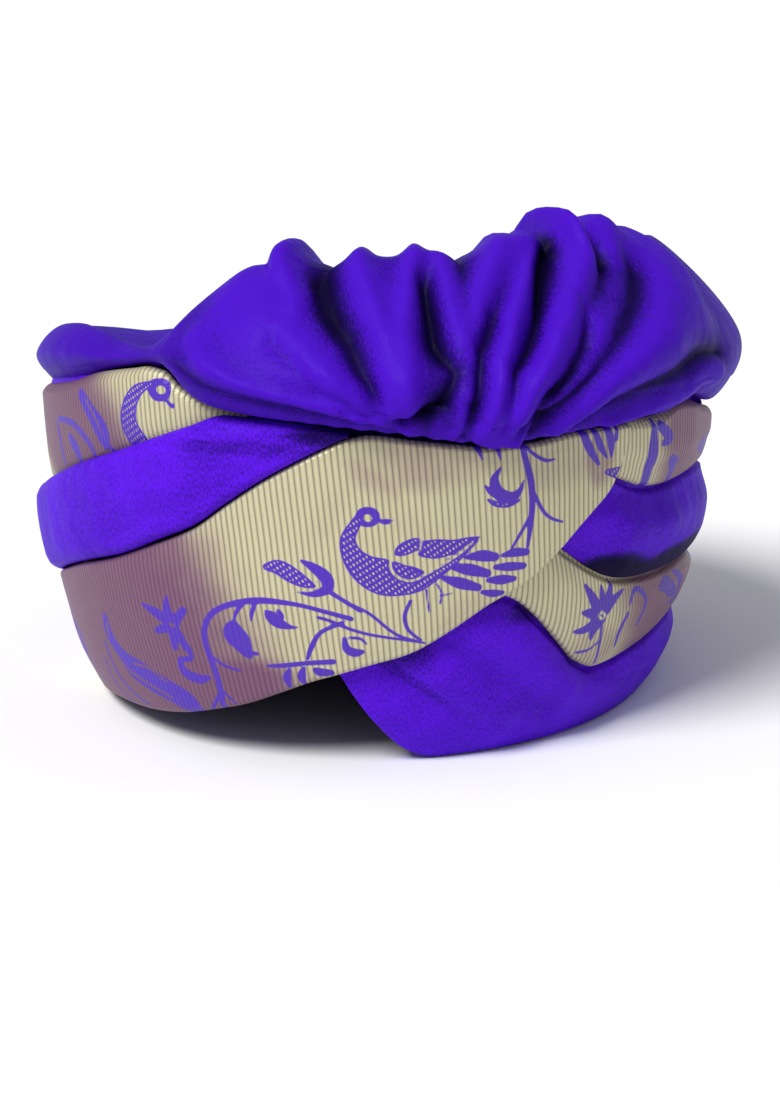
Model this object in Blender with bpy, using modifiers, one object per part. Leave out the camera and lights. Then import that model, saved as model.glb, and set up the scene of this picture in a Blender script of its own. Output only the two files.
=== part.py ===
"""Wound turban with a gathered puff on top. Metres, +Z up, resting on its rim at z = 0.

The wraps follow an oval head opening. Every surface is given in wall coordinates: the angle
round the oval (0 at the front, -Y; growing towards +X), the distance out from the oval and
the height. The turban flares upwards, so the layers of cloth are placed by their distance
from one flared surface.
"""
import bpy
import numpy as np

MM = 0.001

# Head opening and flare
HEAD_HALF_WIDTH = 82.0
HEAD_HALF_DEPTH = 99.0
# height, distance of the visible cloth out from the head oval
FLARE = ((0, 26.5), (10, 31.5), (20, 36.0), (40, 41.5), (56, 45.5), (72, 48.0),
         (90, 49.0), (115, 51.0), (130, 52.0), (220, 52.0))
# height, distance of the hollow's wall out from the head oval
HOLLOW = ((0, 0.0), (20, 3.0), (45, 10.0), (80, 20.0), (115, 26.0), (170, 28.0))

# Step between sections round the head, in degrees
COARSE_STEP = 6
FINE_STEP = 3
FINE_FROM = -60
FINE_TO = 60

# Layer distances from the flare: the core, a tucked layer, a top layer, the front band
CORE_OUT = -9.2
TUCK_IN = -8.4
TUCK_OUT = -4.7
TOP_IN = -4.0
BAND_IN = 0.8
BAND_OUT = 4.4

PUFF_CLOTH = 2.5
# Size of a degree and of a station on the puff, by which its folds are laid out
MM_PER_DEGREE = 2.5
MM_PER_STATION = 36.0
# Narrowest half width of a fold that the coarse sections can carry
LEAST_FOLD_WIDTH = 9.0
PUFF_FRONT_STEP = 4.8
PUFF_BACK_STEP = 12.0
PUFF_FRONT_FROM = -36.0
PUFF_FRONT_TO = 108.0
CROWN_POLE = (0.0, 14.0, 147.0)
# Stations along the puff from the tuck (0) by the lip (1), belly (2) and crest (3) to the pole (4)
PUFF_STATIONS = (0.0, 0.5, 1.0, 1.35, 1.7, 2.05, 2.4, 2.7, 3.0, 3.16, 3.36, 3.6, 3.8)

# Core: angle, bottom, top
CORE_ROWS = (
    (-180, 0, 104), (-150, 0, 102), (-120, 0, 105), (-105, 0, 114), (-90, 0, 126),
    (-72, 0, 137), (-60, 4, 143), (-48, 9, 150), (-36, 12, 154), (-27, 16, 155),
    (-21, 19, 143), (-15, 23, 138), (-6, 31, 135), (3, 42.5, 133), (6, 38, 132),
    (9, 30, 131), (15, 13, 129), (21, 3, 127), (30, 0, 125), (45, 0, 127),
    (57, 0, 123), (63, 0, 128), (72, 0, 125), (84, 0, 110), (96, 0, 106),
    (120, 0, 112), (150, 0, 110), (180, 0, 104))

# Wraps: angle, bottom, top, bulge
RIM_ROWS = (
    (-6, 45, 60, 0), (3, 39.5, 62, 0), (6, 29, 63, 0), (9, 19, 63, 0), (12, 11, 64, 0.5),
    (15, 5, 66, 1), (18, 1.5, 69, 1.5), (21, 0, 72, 2), (27, 0, 76, 2), (30, 0, 75, 2),
    (33, 0, 72, 2), (36, 0, 66, 2), (42, 0, 53, 2), (48, 0, 41, 2), (54, 0, 36, 2),
    (66, 0, 38, 2), (84, 0, 41, 2), (108, 0, 37, 2), (150, 0, 30, 0), (168, 0, 28, 0),
    (240, 0, 32, 0), (282, 0, 36, 0), (294, 2, 38, 0), (300, 6, 40, 0))
LOWER_BROCADE_ROWS = (
    (27, 69, 91, 0), (30, 67, 93, 0), (33, 63.5, 95, 0), (36, 58, 96, 0), (42, 44.5, 87, 0.6),
    (48, 32.5, 78, 1), (54, 27.5, 72, 1), (66, 29.5, 68, 1), (84, 33, 65.5, 1),
    (108, 29, 57, 1), (150, 22, 48, 0.5), (168, 20, 46, 0), (174, 20, 45, 0))
FOLD_ROWS = (
    (36, 88, 112, 0), (39, 84.5, 114, 0), (42, 79.5, 116, 0), (48, 70, 116, 0.4),
    (54, 64, 110, 3), (60, 61.5, 105, 3), (66, 60.2, 103, 3), (84, 57.5, 101.5, 2.5),
    (108, 49.5, 93, 2), (120, 47, 87, 2), (150, 41.5, 79, 0.5), (162, 40, 77, 0), (174, 39.5, 75, 0))
UPPER_BROCADE_ROWS = (
    (45, 111, 127.2, 0), (48, 108.5, 127.2, 0), (54, 102.5, 126.2, 1), (60, 97.5, 125.0, 2),
    (66, 95.5, 129, 3), (72, 94.8, 126.6, 3), (78, 94.5, 122, 2), (84, 94, 118, 1.5),
    (96, 91, 111, 1), (102, 88, 105.7, 1), (108, 85, 104, 1), (120, 79, 102, 1), (150, 71, 98, 0.5),
    (180, 66, 94, 0.5), (210, 64, 92, 0.5), (240, 64, 96, 0.5), (258, 64, 104, 0.5),
    (270, 66, 112, 1), (282, 72, 120, 1.5), (294, 80, 126, 2), (300, 84, 129, 2),
    (312, 95, 136, 1.5), (321, 102, 143, 1.5), (330, 111, 148, 1), (333, 114, 149.5, 1),
    (336, 117, 149, 0.5), (339, 121, 144, 0), (342, 124, 141, 0), (348, 130, 137.6, 0),
    (351, 132.6, 136.8, 0))
TOP_WRAP_ROWS = (
    (102, 98, 112, 0), (108, 97, 115, 1), (120, 92, 118, 2), (150, 88, 117, 2),
    (180, 84, 112, 2), (210, 82, 110, 2), (240, 86, 113, 2), (252, 92, 121, 2),
    (264, 98, 131, 3), (276, 106, 139, 4), (288, 113, 145, 4), (300, 119, 150, 4),
    (312, 126, 157.5, 4), (321, 133, 162, 4), (327, 137, 161.8, 3.5), (333, 141, 160.5, 2.5))
BAND_PLAIN_ROWS = (
    (-204, 46.6, 84, 0), (-180, 45.6, 83, 1), (-150, 42.6, 81, 1), (-120, 39.6, 79, 1),
    (-96, 38.6, 77, 1.5), (-78, 42.6, 80.5, 2), (-66, 50.8, 87, 2), (-54, 59.9, 97, 2),
    (-42, 69.4, 108, 2), (-33, 76.4, 116, 2), (-24, 86.4, 125, 2), (-18, 93.4, 131, 1.5),
    (-12, 104, 136.4, 1), (-6, 114.6, 136.2, 1), (0, 123.6, 135, 0.5), (3, 127.6, 134.2, 0),
    (6, 131.0, 133.4, 0))
BAND_BROCADE_ROWS = (
    (-204, 0, 46, 0), (-180, 0, 45, 0.5), (-150, 0, 42, 0.5), (-120, 0, 39, 0.5),
    (-96, 0, 38, 0.5), (-78, 0, 42, 0.5), (-66, 0.4, 50, 0.5), (-60, 2.5, 54.5, 0.5),
    (-54, 5, 59, 0.5), (-48, 7, 64, 0.5), (-36, 9.8, 73, 0.5), (-27, 13.4, 82, 0.5),
    (-18, 19.2, 92.4, 0.5), (-12, 23.6, 103.4, 0.5), (-6, 29.6, 114, 0.5), (0, 35.8, 123, 0.5),
    (3, 38.2, 127, 0.5), (6, 40.6, 130.4, 0.5), (9, 43, 131.6, 0.5), (15, 47.4, 129.6, 0.5),
    (21, 55.6, 127.4, 0.5), (27, 65, 125.4, 0.5), (33, 72, 125.6, 0.5), (39, 83, 127.2, 0.5),
    (42, 89.5, 127.4, 0), (45, 95.5, 127.4, 0), (48, 102, 127, 0), (51, 118, 126.6, 0))

# Profiles: level from bottom (0) to top (3), inner distance, outer distance, share of bulge.
# Levels 1 and 2 are the ends of the parts that lap over the wrap below and under the one above.
UNDER_PROFILE = (
    (0, TUCK_IN, -0.6, 0.3), (1, TUCK_IN, -0.1, 1), (1.25, TUCK_IN, -0.1, 1),
    (1.6, TUCK_IN, -0.3, 0.8),
    (2, TUCK_IN, -1.6, 0), (2.2, TUCK_IN, TUCK_OUT, 0), (3, TUCK_IN, -5.0, 0))
MIDDLE_PROFILE = (
    (0, TOP_IN, -1.8, 0), (0.5, TOP_IN, -0.4, 0.4), (1, TOP_IN, -0.1, 0.8),
    (1.4, TUCK_IN, -0.2, 1), (2, TUCK_IN, -1.8, 0), (2.2, TUCK_IN, TUCK_OUT, 0),
    (3, TUCK_IN, -5.0, 0))
OVER_PROFILE = (
    (0, TOP_IN, -1.8, 0), (0.6, TOP_IN, -0.5, 0.1), (1.3, TOP_IN, -0.2, 1),
    (2, TOP_IN, -0.2, 0.8), (3, TOP_IN, -1.4, 0))
TOP_PROFILE = (
    (0, TUCK_IN, -5.0, 0), (1, TUCK_IN, TUCK_OUT, 0), (1.25, TUCK_IN, -2.6, 0.2),
    (1.7, TUCK_IN, -2.2, 0.8), (2.2, TUCK_IN, -2.6, 0.9), (2.7, TUCK_IN, -3.6, 0.4),
    (3, TUCK_IN + 1.5, -5.4, 0))
PLAIN_BAND_PROFILE = (
    (0, BAND_IN, 5.0, 0), (0.5, BAND_IN, 6.6, 0.4), (1.3, BAND_IN, 6.4, 0.9),
    (1.7, BAND_IN, 6.4, 0.9), (2.5, BAND_IN, 5.6, 0.4), (3, BAND_IN, 3.6, 0))
BROCADE_BAND_PROFILE = (
    (0, BAND_IN, 3.4, 0), (0.4, BAND_IN, BAND_OUT, 0), (1.2, BAND_IN, BAND_OUT, 0.6),
    (1.5, BAND_IN, BAND_OUT, 1), (1.8, BAND_IN, BAND_OUT, 0.6), (2.6, BAND_IN, BAND_OUT, 0),
    (3, BAND_IN, 3.8, 0))

# Puff: angle, waist height, lip out from the flare, lip drop, belly out from the head oval,
# belly height, crest out from the head oval, crest height
PUFF_ROWS = (
    (-180, 109, -9, -1.5, 38, 117, 20, 121), (-150, 107, -9, -1.5, 38, 115, 20, 119),
    (-120, 110, -9, -1.5, 38, 117, 22, 120), (-105, 119.5, -9, -1.5, 38, 126, 24, 127),
    (-90, 131.5, -9, -1.5, 38, 137, 26, 137.5), (-72, 142, -9, -1.5, 38, 147, 28, 147.5),
    (-60, 146, -9, -1.5, 38, 151, 29, 152), (-48, 152, -9, -1.5, 39, 157, 30, 157),
    (-42, 156.5, -9, -1.5, 40, 159.5, 30, 160),
    (-36, 161.5, -8, -1.5, 42, 162.5, 30, 162.5), (-33, 163, -6.5, -1.5, 46, 165, 30, 164),
    (-30, 163.5, -4, -1, 50, 167, 30, 166),
    (-27, 162.5, 0, -0.5, 56, 168, 29, 169), (-24, 153.5, 5, 0, 60, 164, 28, 173.5),
    (-21, 148, 8, 1, 63, 161, 27, 178), (-18, 144.5, 9, 1, 65, 158, 26, 181),
    (-12, 139.5, 10, 1, 66, 156, 25, 185), (-6, 137.6, 10, 1, 66, 156, 25, 188),
    (0, 136.4, 10, 1, 66, 156, 25, 188.5), (9, 133.8, 10, 1, 66, 155, 25, 190),
    (18, 130.4, 10, 1, 67, 154, 25, 190), (27, 127.2, 10, 1, 68, 153, 26, 190),
    (36, 128, 10, 1, 69, 154, 27, 192), (45, 128.6, 9, 1, 69, 155, 28, 195),
    (54, 128, 8, 1, 68, 156, 28, 196), (60, 127, 7, 1, 66, 156, 27, 195),
    (66, 131, 6, 1, 65, 154, 27, 192), (72, 128, 6, 1, 64, 150, 27, 189),
    (78, 124, 5, 1.5, 63, 146, 27, 186), (84, 120, 3, 1.5, 62, 144, 27, 184),
    (96, 117.5, 1.5, 1, 61, 142, 27, 178), (108, 118, -1, 0, 56, 143, 27, 172),
    (120, 119, -7, -1, 48, 141, 26, 165), (150, 114.5, -9, -1.5, 40, 126, 22, 141),
    (180, 109, -9, -1.5, 38, 117, 20, 121))

# Folds of the puff: line from the knot by a middle point to its far end, each as angle and
# station, then half width near the knot and at the far end, then rise near the knot and at the
# far end. A negative rise is a valley.
PUFF_FOLDS = (
    (10, 1.5, 0, 2.18, -11, 2.8, 6, 12, 4, 5),
    (-2, 2.62, -6, 2.85, -8, 3.2, 6, 7, 3, 8),
    (11, 1.5, 6, 2.32, 0, 2.8, 5, 7, -4, -6),
    (12, 1.5, 11, 2.32, 7, 3.1, 6, 7, 4, 4),
    (14, 1.6, 14, 2.4, 18, 3.15, 5, 7, 2, 5),
    (17, 1.6, 20, 2.1, 18, 2.7, 5, 6, -8, -8),
    (20, 1.3, 20, 2.12, 22, 2.9, 4, 7, 3, 3),
    (23, 2.4, 25, 2.75, 27, 3.2, 5, 5, -1, -5),
    (22, 1.8, 26, 2.6, 37, 3.15, 4, 7, 2, 5),
    (22, 1.5, 24, 2.26, 34, 2.75, 5, 5, -5, -6),
    (24, 1.6, 30, 2.46, 42, 3.1, 4, 7, 4, 7),
    (27, 1.7, 34, 2.4, 45.5, 3.2, 4, 5, -2, -12),
    (27, 1.5, 35, 2.26, 49.5, 3.15, 6, 7, 5, 10),
    (31, 1.7, 39, 2.2, 51, 2.7, 5, 7, -7, -10),
    (31, 1.5, 42, 2.2, 58, 2.95, 5, 9, 4, 5),
    (33, 1.6, 44, 2.15, 57, 2.55, 5, 7, -4, -6),
    (36, 1.4, 50, 1.95, 70, 2.5, 6, 14, 3, 5),
    (46, 1.5, 56, 1.6, 68, 1.75, 5, 8, -2, -3),
)


def smooth_rows(rows, angles):
    """Each column of a table, read at the angles by a cubic with no overshoot."""
    table = np.array(rows, float)
    known = table[:, 0]
    values = table[:, 1:]
    step = np.diff(known)[:, None]
    slope = np.diff(values, axis=0) / step
    tangent = np.zeros_like(values)
    same = slope[:-1] * slope[1:] > 0
    joined = np.where(same, slope[:-1] * slope[1:], 0.0)
    total = np.where(same, slope[:-1] + slope[1:], 1.0)
    tangent[1:-1] = 2.0 * joined / total
    tangent[0] = slope[0]
    tangent[-1] = slope[-1]
    where = np.clip(np.searchsorted(known, angles, side="right") - 1, 0, len(known) - 2)
    width = step[where]
    share = (np.asarray(angles, float)[:, None] - known[where, None]) / width
    left = values[where]
    right = values[where + 1]
    a = (1 + 2 * share) * (1 - share) ** 2
    b = share * (1 - share) ** 2
    c = share ** 2 * (3 - 2 * share)
    d = share ** 2 * (share - 1)
    return a * left + b * width * tangent[where] + c * right + d * width * tangent[where + 1]


def read_pairs(pairs, height):
    """The distance that goes with a height, in a table of heights and distances."""
    return np.interp(height, [pair[0] for pair in pairs], [pair[1] for pair in pairs])


def wall_point(angle, out, height):
    """Wall coordinates turned into x, y and z in millimetres."""
    turn = np.radians(angle)
    across = HEAD_HALF_DEPTH * np.sin(turn)
    along = -HEAD_HALF_WIDTH * np.cos(turn)
    length = np.hypot(across, along)
    x = HEAD_HALF_WIDTH * np.sin(turn) + out * across / length
    y = -HEAD_HALF_DEPTH * np.cos(turn) + out * along / length
    return np.stack([x, y, height + 0.0 * x], axis=-1)


def section_angles(first, last):
    """Angles of the sections between two ends: fine at the front, coarse elsewhere."""
    angles = [first]
    while angles[-1] < last:
        here = (angles[-1] + 180) % 360 - 180
        step = FINE_STEP if FINE_FROM <= here < FINE_TO else COARSE_STEP
        angles.append(min(angles[-1] + step, last))
    return np.array(angles, float)


def wrap_sections(rows, profile, low_lap, high_lap):
    """Closed sections of a wrap, one for each angle, running up the inside and down the outside."""
    angles = section_angles(rows[0][0], rows[-1][0])
    bottom, top, bulge = smooth_rows(rows, angles).T
    room = np.maximum(top - bottom, 0.1)
    low = np.minimum(low_lap, room * 0.6)
    high = np.minimum(high_lap, room * 0.35)
    heights = np.stack([bottom, bottom + low, top - high, top], axis=1)
    shape = np.array(profile, float)
    levels = shape[:, 0]
    height = np.array([np.interp(levels, (0, 1, 2, 3), row) for row in heights])
    flare = read_pairs(FLARE, height)
    inner = flare + shape[None, :, 1]
    outer = flare + shape[None, :, 2] + bulge[:, None] * shape[None, :, 3]
    inside = wall_point(angles[:, None], inner, height)
    outside = wall_point(angles[:, None], outer, height)
    return np.concatenate([inside, outside[:, ::-1]], axis=1)


def loft(name, sections, closed):
    """Mesh object through closed sections; the two ends are filled or joined to each other."""
    count, points = sections.shape[:2]
    corners = sections.reshape(-1, 3) * MM
    faces = []
    for i in range(count if closed else count - 1):
        j = (i + 1) % count
        for k in range(points):
            m = (k + 1) % points
            faces.append((i * points + k, i * points + m, j * points + m, j * points + k))
    if not closed:
        faces.append(tuple(range(points))[::-1])
        faces.append(tuple((count - 1) * points + k for k in range(points)))
    return mesh_object(name, corners, faces)


def mesh_object(name, corners, faces):
    """Object with smooth faces in the turban's collection."""
    mesh = bpy.data.meshes.new(name)
    mesh.from_pydata([tuple(corner) for corner in corners], [], faces)
    mesh.validate()
    mesh.polygons.foreach_set("use_smooth", [True] * len(mesh.polygons))
    thing = bpy.data.objects.new(name, mesh)
    turban.objects.link(thing)
    return thing


def cloth(thing, name, colour, metallic, roughness):
    """Give an object its own material."""
    material = bpy.data.materials.new(name)
    material.use_nodes = True
    shader = material.node_tree.nodes["Principled BSDF"]
    shader.inputs["Base Color"].default_value = (*colour, 1.0)
    shader.inputs["Metallic"].default_value = metallic
    shader.inputs["Roughness"].default_value = roughness
    thing.data.materials.append(material)


def core_sections():
    """Closed sections of the innermost turns, from the hollow's wall out to the core's face."""
    angles = np.arange(-180.0, 180.0, COARSE_STEP)
    bottom, top = smooth_rows(CORE_ROWS, angles).T
    shares = np.array((0.0, 0.13, 0.3, 0.55, 0.8, 1.0))
    height = bottom[:, None] + (top - bottom)[:, None] * shares[None, :]
    inside = wall_point(angles[:, None], read_pairs(HOLLOW, height), height)
    outside = wall_point(angles[:, None], read_pairs(FLARE, height) + CORE_OUT, height)
    return np.concatenate([inside, outside[:, ::-1]], axis=1)


def cubic(share, before, start, end, after):
    """Smooth curve from start to end, led by the points before and after."""
    first = (end - before) / 2
    second = (after - start) / 2
    a = (1 + 2 * share) * (1 - share) ** 2
    b = share * (1 - share) ** 2
    c = share ** 2 * (3 - 2 * share)
    d = share ** 2 * (share - 1)
    return a * start + b * first + c * end + d * second


def puff_base(angles, stations):
    """The puff without its folds: one smooth curve for each angle, from tuck to pole."""
    waist, lip, drop, belly, belly_z, crest, crest_z = smooth_rows(PUFF_ROWS, angles).T
    flare = read_pairs(FLARE, waist)
    keys_out = (flare + np.minimum(lip - 3.5, -13.0), flare + lip - 3.5, flare + lip, belly,
                crest, crest - 26.0)
    keys_z = (waist + 0.8, waist + 0.8, waist - drop, belly_z, crest_z, crest_z - 7.0)
    places = (0.0, 0.5, 1.0, 2.0, 3.0, 4.0)
    rows = []
    for station in stations:
        if station <= 3.0:
            k = min(int(np.searchsorted(places, station, side="right")) - 1, 3)
            share = (station - places[k]) / (places[k + 1] - places[k])
            before = max(k - 1, 0)
            out = cubic(share, keys_out[before], keys_out[k], keys_out[k + 1], keys_out[k + 2])
            z = cubic(share, keys_z[before], keys_z[k], keys_z[k + 1], keys_z[k + 2])
            rows.append(wall_point(angles, out, z))
        else:
            share = station - 3.0
            edge = wall_point(angles, crest, crest_z)
            pole = np.array(CROWN_POLE)
            flat = edge + (pole - edge) * share
            flat[:, 2] = crest_z + (pole[2] - crest_z) * share ** 2 * (3 - 2 * share)
            rows.append(flat)
    return np.stack(rows, axis=1)


def fold_rise(angles, stations):
    """How far each point of the puff stands out from its base: folds that fade over the crown."""
    scale = np.array((MM_PER_DEGREE, MM_PER_STATION))
    across = np.asarray(angles)[:, None] * scale[0]
    along = np.asarray(stations)[None, :] * scale[1]
    rise = np.zeros((len(angles), len(stations)))
    for fold in PUFF_FOLDS:
        line = np.array(fold[:6], float).reshape(3, 2) * scale
        nearest = np.full(rise.shape, 1e9)
        travel = np.zeros(rise.shape)
        for k in range(2):
            start = line[k]
            run = line[k + 1] - start
            share = ((across - start[0]) * run[0] + (along - start[1]) * run[1]) / (run @ run)
            share = np.clip(share, 0.0, 1.0)
            gap = np.hypot(across - start[0] - share * run[0], along - start[1] - share * run[1])
            closer = gap < nearest
            nearest = np.where(closer, gap, nearest)
            travel = np.where(closer, (k + share) / 2, travel)
        width = np.maximum(fold[6] + (fold[7] - fold[6]) * travel, LEAST_FOLD_WIDTH)
        height = fold[8] + (fold[9] - fold[8]) * travel
        rise += height * np.exp(-(nearest / width) ** 2)
    fade = np.clip((3.5 - np.asarray(stations)) / 0.45, 0.0, 1.0)
    return rise * fade[None, :]


def grid_normals(points):
    """Outward direction at each point of a grid that is closed across its rows."""
    round_it = np.roll(points, -1, axis=0) - np.roll(points, 1, axis=0)
    up_it = np.gradient(points, axis=1)
    normal = np.cross(round_it, up_it)
    return normal / np.linalg.norm(normal, axis=-1, keepdims=True)


def puff_object():
    """Gathered puff and crown: one sheet from the knot at the front over the top of the head."""
    front = np.arange(PUFF_FRONT_FROM, PUFF_FRONT_TO, PUFF_FRONT_STEP)
    back = np.arange(PUFF_FRONT_TO, PUFF_FRONT_FROM + 360.0, PUFF_BACK_STEP)
    angles = np.concatenate([front, back])
    angles = (angles + 180.0) % 360.0 - 180.0
    points = puff_base(angles, PUFF_STATIONS)
    points = points + grid_normals(points) * fold_rise(angles, PUFF_STATIONS)[..., None]
    count, levels = points.shape[:2]
    corners = np.concatenate([points.reshape(-1, 3), [CROWN_POLE]]) * MM
    faces = []
    for i in range(count):
        j = (i + 1) % count
        for k in range(levels - 1):
            faces.append((i * levels + k, j * levels + k, j * levels + k + 1, i * levels + k + 1))
        faces.append((i * levels + levels - 1, j * levels + levels - 1, count * levels))
    thing = mesh_object("crown_puff", corners, faces)
    thick = thing.modifiers.new("Cloth", "SOLIDIFY")
    thick.thickness = PUFF_CLOTH * MM
    thick.offset = -1.0
    return thing


for old in list(bpy.data.objects):
    bpy.data.objects.remove(old, do_unlink=True)
turban = bpy.data.collections.new("turban")
bpy.context.scene.collection.children.link(turban)

VIOLET = (0.075, 0.013, 0.62)
GOLD = (0.60, 0.50, 0.34)

# Innermost turns
cloth(loft("inner_wrap", core_sections(), True), "Violet satin, inner", VIOLET, 0.0, 0.5)

# Wraps from the lowest layer outwards: name, rows, profile, lap below, lap above, gold or violet
WRAPS = (
    ("rim_wrap", RIM_ROWS, UNDER_PROFILE, 10, 12, VIOLET),
    ("lower_brocade", LOWER_BROCADE_ROWS, MIDDLE_PROFILE, 12.5, 11, GOLD),
    ("side_fold", FOLD_ROWS, MIDDLE_PROFILE, 10, 11, VIOLET),
    ("upper_brocade", UPPER_BROCADE_ROWS, OVER_PROFILE, 10, 4, GOLD),
    ("top_wrap", TOP_WRAP_ROWS, TOP_PROFILE, 11, 6, VIOLET),
    ("front_band_plain", BAND_PLAIN_ROWS, PLAIN_BAND_PROFILE, 6, 6, VIOLET),
    ("front_band_brocade", BAND_BROCADE_ROWS, BROCADE_BAND_PROFILE, 6, 6, GOLD),
)
for name, rows, profile, low_lap, high_lap, colour in WRAPS:
    wrap = loft(name, wrap_sections(rows, profile, low_lap, high_lap), False)
    gold = colour is GOLD
    kind = "Gold brocade" if gold else "Violet satin"
    cloth(wrap, kind + ", " + name, colour, 0.6 if gold else 0.0, 0.45)

cloth(puff_object(), "Violet satin, puff", VIOLET, 0.0, 0.45)
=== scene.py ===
"""A wound turban of violet satin with a gold brocade border and a gathered puff on top.

It is laid out as a Blender add-on and run as a script. Every cloth is a surface worked out in
wall coordinates: the angle round the head opening (0 at the front, growing towards +X), the
distance out from the opening's oval and the height, all in millimetres and degrees. A last step
turns them into metres, with +Z up and the rim resting at z = 0.
"""

import bpy
import numpy as np
from bpy.props import FloatProperty, FloatVectorProperty, PointerProperty
from mathutils import Matrix, Vector


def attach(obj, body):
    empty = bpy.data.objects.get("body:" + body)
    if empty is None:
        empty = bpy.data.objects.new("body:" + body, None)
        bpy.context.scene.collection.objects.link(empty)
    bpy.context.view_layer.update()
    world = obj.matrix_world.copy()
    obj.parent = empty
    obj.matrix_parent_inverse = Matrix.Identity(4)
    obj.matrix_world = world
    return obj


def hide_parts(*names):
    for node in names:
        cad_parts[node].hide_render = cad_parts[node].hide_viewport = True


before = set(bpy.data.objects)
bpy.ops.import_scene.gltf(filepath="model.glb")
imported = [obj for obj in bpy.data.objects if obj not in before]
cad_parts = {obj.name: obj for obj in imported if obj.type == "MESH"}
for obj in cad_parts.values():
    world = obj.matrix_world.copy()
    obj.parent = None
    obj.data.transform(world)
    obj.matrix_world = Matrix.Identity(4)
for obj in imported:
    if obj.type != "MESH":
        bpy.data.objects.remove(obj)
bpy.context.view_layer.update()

bl_info = {
    "name": "Wound turban",
    "version": (1, 0, 0),
    "blender": (4, 5, 0),
    "location": "3D View > Sidebar > Turban",
    "description": "Builds a wound turban of satin and brocade over its packed solids",
    "category": "Add Mesh",
}

MM = 0.001

# Sizes shared with the part's solids

HEAD_HALF_WIDTH = 82.0
HEAD_HALF_DEPTH = 99.0
# height, distance of the visible cloth out from the head oval
FLARE = ((0, 26.5), (10, 31.5), (20, 36.0), (40, 41.5), (56, 45.5), (72, 48.0),
         (90, 49.0), (115, 51.0), (130, 52.0), (220, 52.0))
# height, distance of the hollow's wall out from the head oval
HOLLOW = ((0, 0.0), (20, 3.0), (45, 10.0), (80, 20.0), (115, 26.0), (170, 28.0))
# Layer distances from the flare: the core, a tucked layer, a top layer, the front band
CORE_OUT = -9.2
TUCK_IN = -8.4
TUCK_OUT = -4.7
TOP_IN = -4.0
BAND_IN = 0.8
BAND_OUT = 4.4
CROWN_POLE = (0.0, 14.0, 147.0)
# Distance out from the head oval at which lengths along the wall are measured
MID_OUT = 46.0

# Core: angle, bottom, top
CORE_ROWS = (
    (-180, 0, 104), (-150, 0, 102), (-120, 0, 105), (-105, 0, 114), (-90, 0, 126),
    (-72, 0, 137), (-60, 4, 140), (-48, 9, 143), (-36, 12, 143), (-27, 16, 143),
    (-21, 19, 141), (-15, 23, 138), (-6, 31, 135), (3, 42.5, 133), (6, 38, 132),
    (9, 30, 131), (15, 13, 129), (21, 3, 127), (30, 0, 125), (45, 0, 127),
    (57, 0, 123), (63, 0, 128), (72, 0, 125), (84, 0, 110), (96, 0, 106),
    (120, 0, 112), (150, 0, 110), (180, 0, 104))

# Wraps: angle, bottom, top, bulge
RIM_ROWS = (
    (-6, 45, 60, 0), (3, 39.5, 62, 0), (6, 29, 63, 0), (9, 19, 63, 0), (12, 11, 64, 0.5),
    (15, 5, 66, 1), (18, 1.5, 69, 1.5), (21, 0, 72, 2), (27, 0, 76, 2), (30, 0, 75, 2),
    (33, 0, 72, 2), (36, 0, 66, 2), (42, 0, 53, 2), (48, 0, 41, 2), (54, 0, 36, 2),
    (66, 0, 38, 2), (84, 0, 41, 2), (108, 0, 37, 2), (150, 0, 30, 0), (168, 0, 28, 0),
    (240, 0, 32, 0), (282, 0, 36, 0), (294, 2, 38, 0), (300, 6, 40, 0))
LOWER_BROCADE_ROWS = (
    (27, 69, 91, 0), (30, 67, 93, 0), (33, 63.5, 95, 0), (36, 58, 96, 0), (42, 44.5, 87, 0.6),
    (48, 32.5, 78, 1), (54, 27.5, 72, 1), (66, 29.5, 68, 1), (84, 33, 65.5, 1),
    (108, 29, 57, 1), (150, 22, 48, 0.5), (168, 20, 46, 0), (174, 20, 45, 0))
FOLD_ROWS = (
    (36, 88, 112, 0), (39, 84.5, 114, 0), (42, 79.5, 116, 0), (48, 70, 116, 0.4),
    (54, 64, 110, 3), (60, 61.5, 105, 3), (66, 60.2, 103, 3), (84, 57.5, 101.5, 2.5),
    (108, 49.5, 93, 2), (120, 47, 87, 2), (150, 41.5, 79, 0.5), (162, 40, 77, 0),
    (174, 39.5, 75, 0))
UPPER_BROCADE_ROWS = (
    (45, 111, 127.2, 0), (48, 108.5, 127.2, 0), (54, 102.5, 126.2, 1), (60, 97.5, 125.0, 2),
    (66, 95.5, 129, 3), (72, 94.8, 126.6, 3), (78, 94.5, 122, 2), (84, 94, 118, 1.5),
    (96, 91, 111, 1), (102, 88, 105.7, 1), (108, 85, 104, 1), (120, 79, 102, 1), (150, 71, 98, 0.5),
    (180, 66, 94, 0.5), (210, 64, 92, 0.5), (240, 64, 96, 0.5), (258, 64, 104, 0.5),
    (270, 66, 112, 1), (282, 72, 120, 1.5), (294, 80, 126, 2), (300, 84, 129, 2),
    (312, 95, 136, 1.5), (321, 102, 143, 1.5), (330, 111, 148, 1), (333, 114, 149.5, 1),
    (336, 117, 149, 0.5), (339, 121, 144, 0), (342, 124, 141, 0), (348, 130, 137.6, 0),
    (351, 132.6, 136.8, 0))
TOP_WRAP_ROWS = (
    (102, 98, 112, 0), (108, 97, 115, 1), (120, 92, 118, 2), (150, 88, 117, 2),
    (180, 84, 112, 2), (210, 82, 110, 2), (240, 86, 113, 2), (252, 92, 121, 2),
    (258, 95, 126, 2), (264, 98, 129, 1.5), (270, 102, 128, 0.5), (276, 106, 122, 0),
    (288, 113, 127, 0), (300, 119, 133, 0), (312, 126, 139, 0), (321, 133, 143, 0),
    (327, 137, 146, 0), (333, 141, 148, 0))
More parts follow.
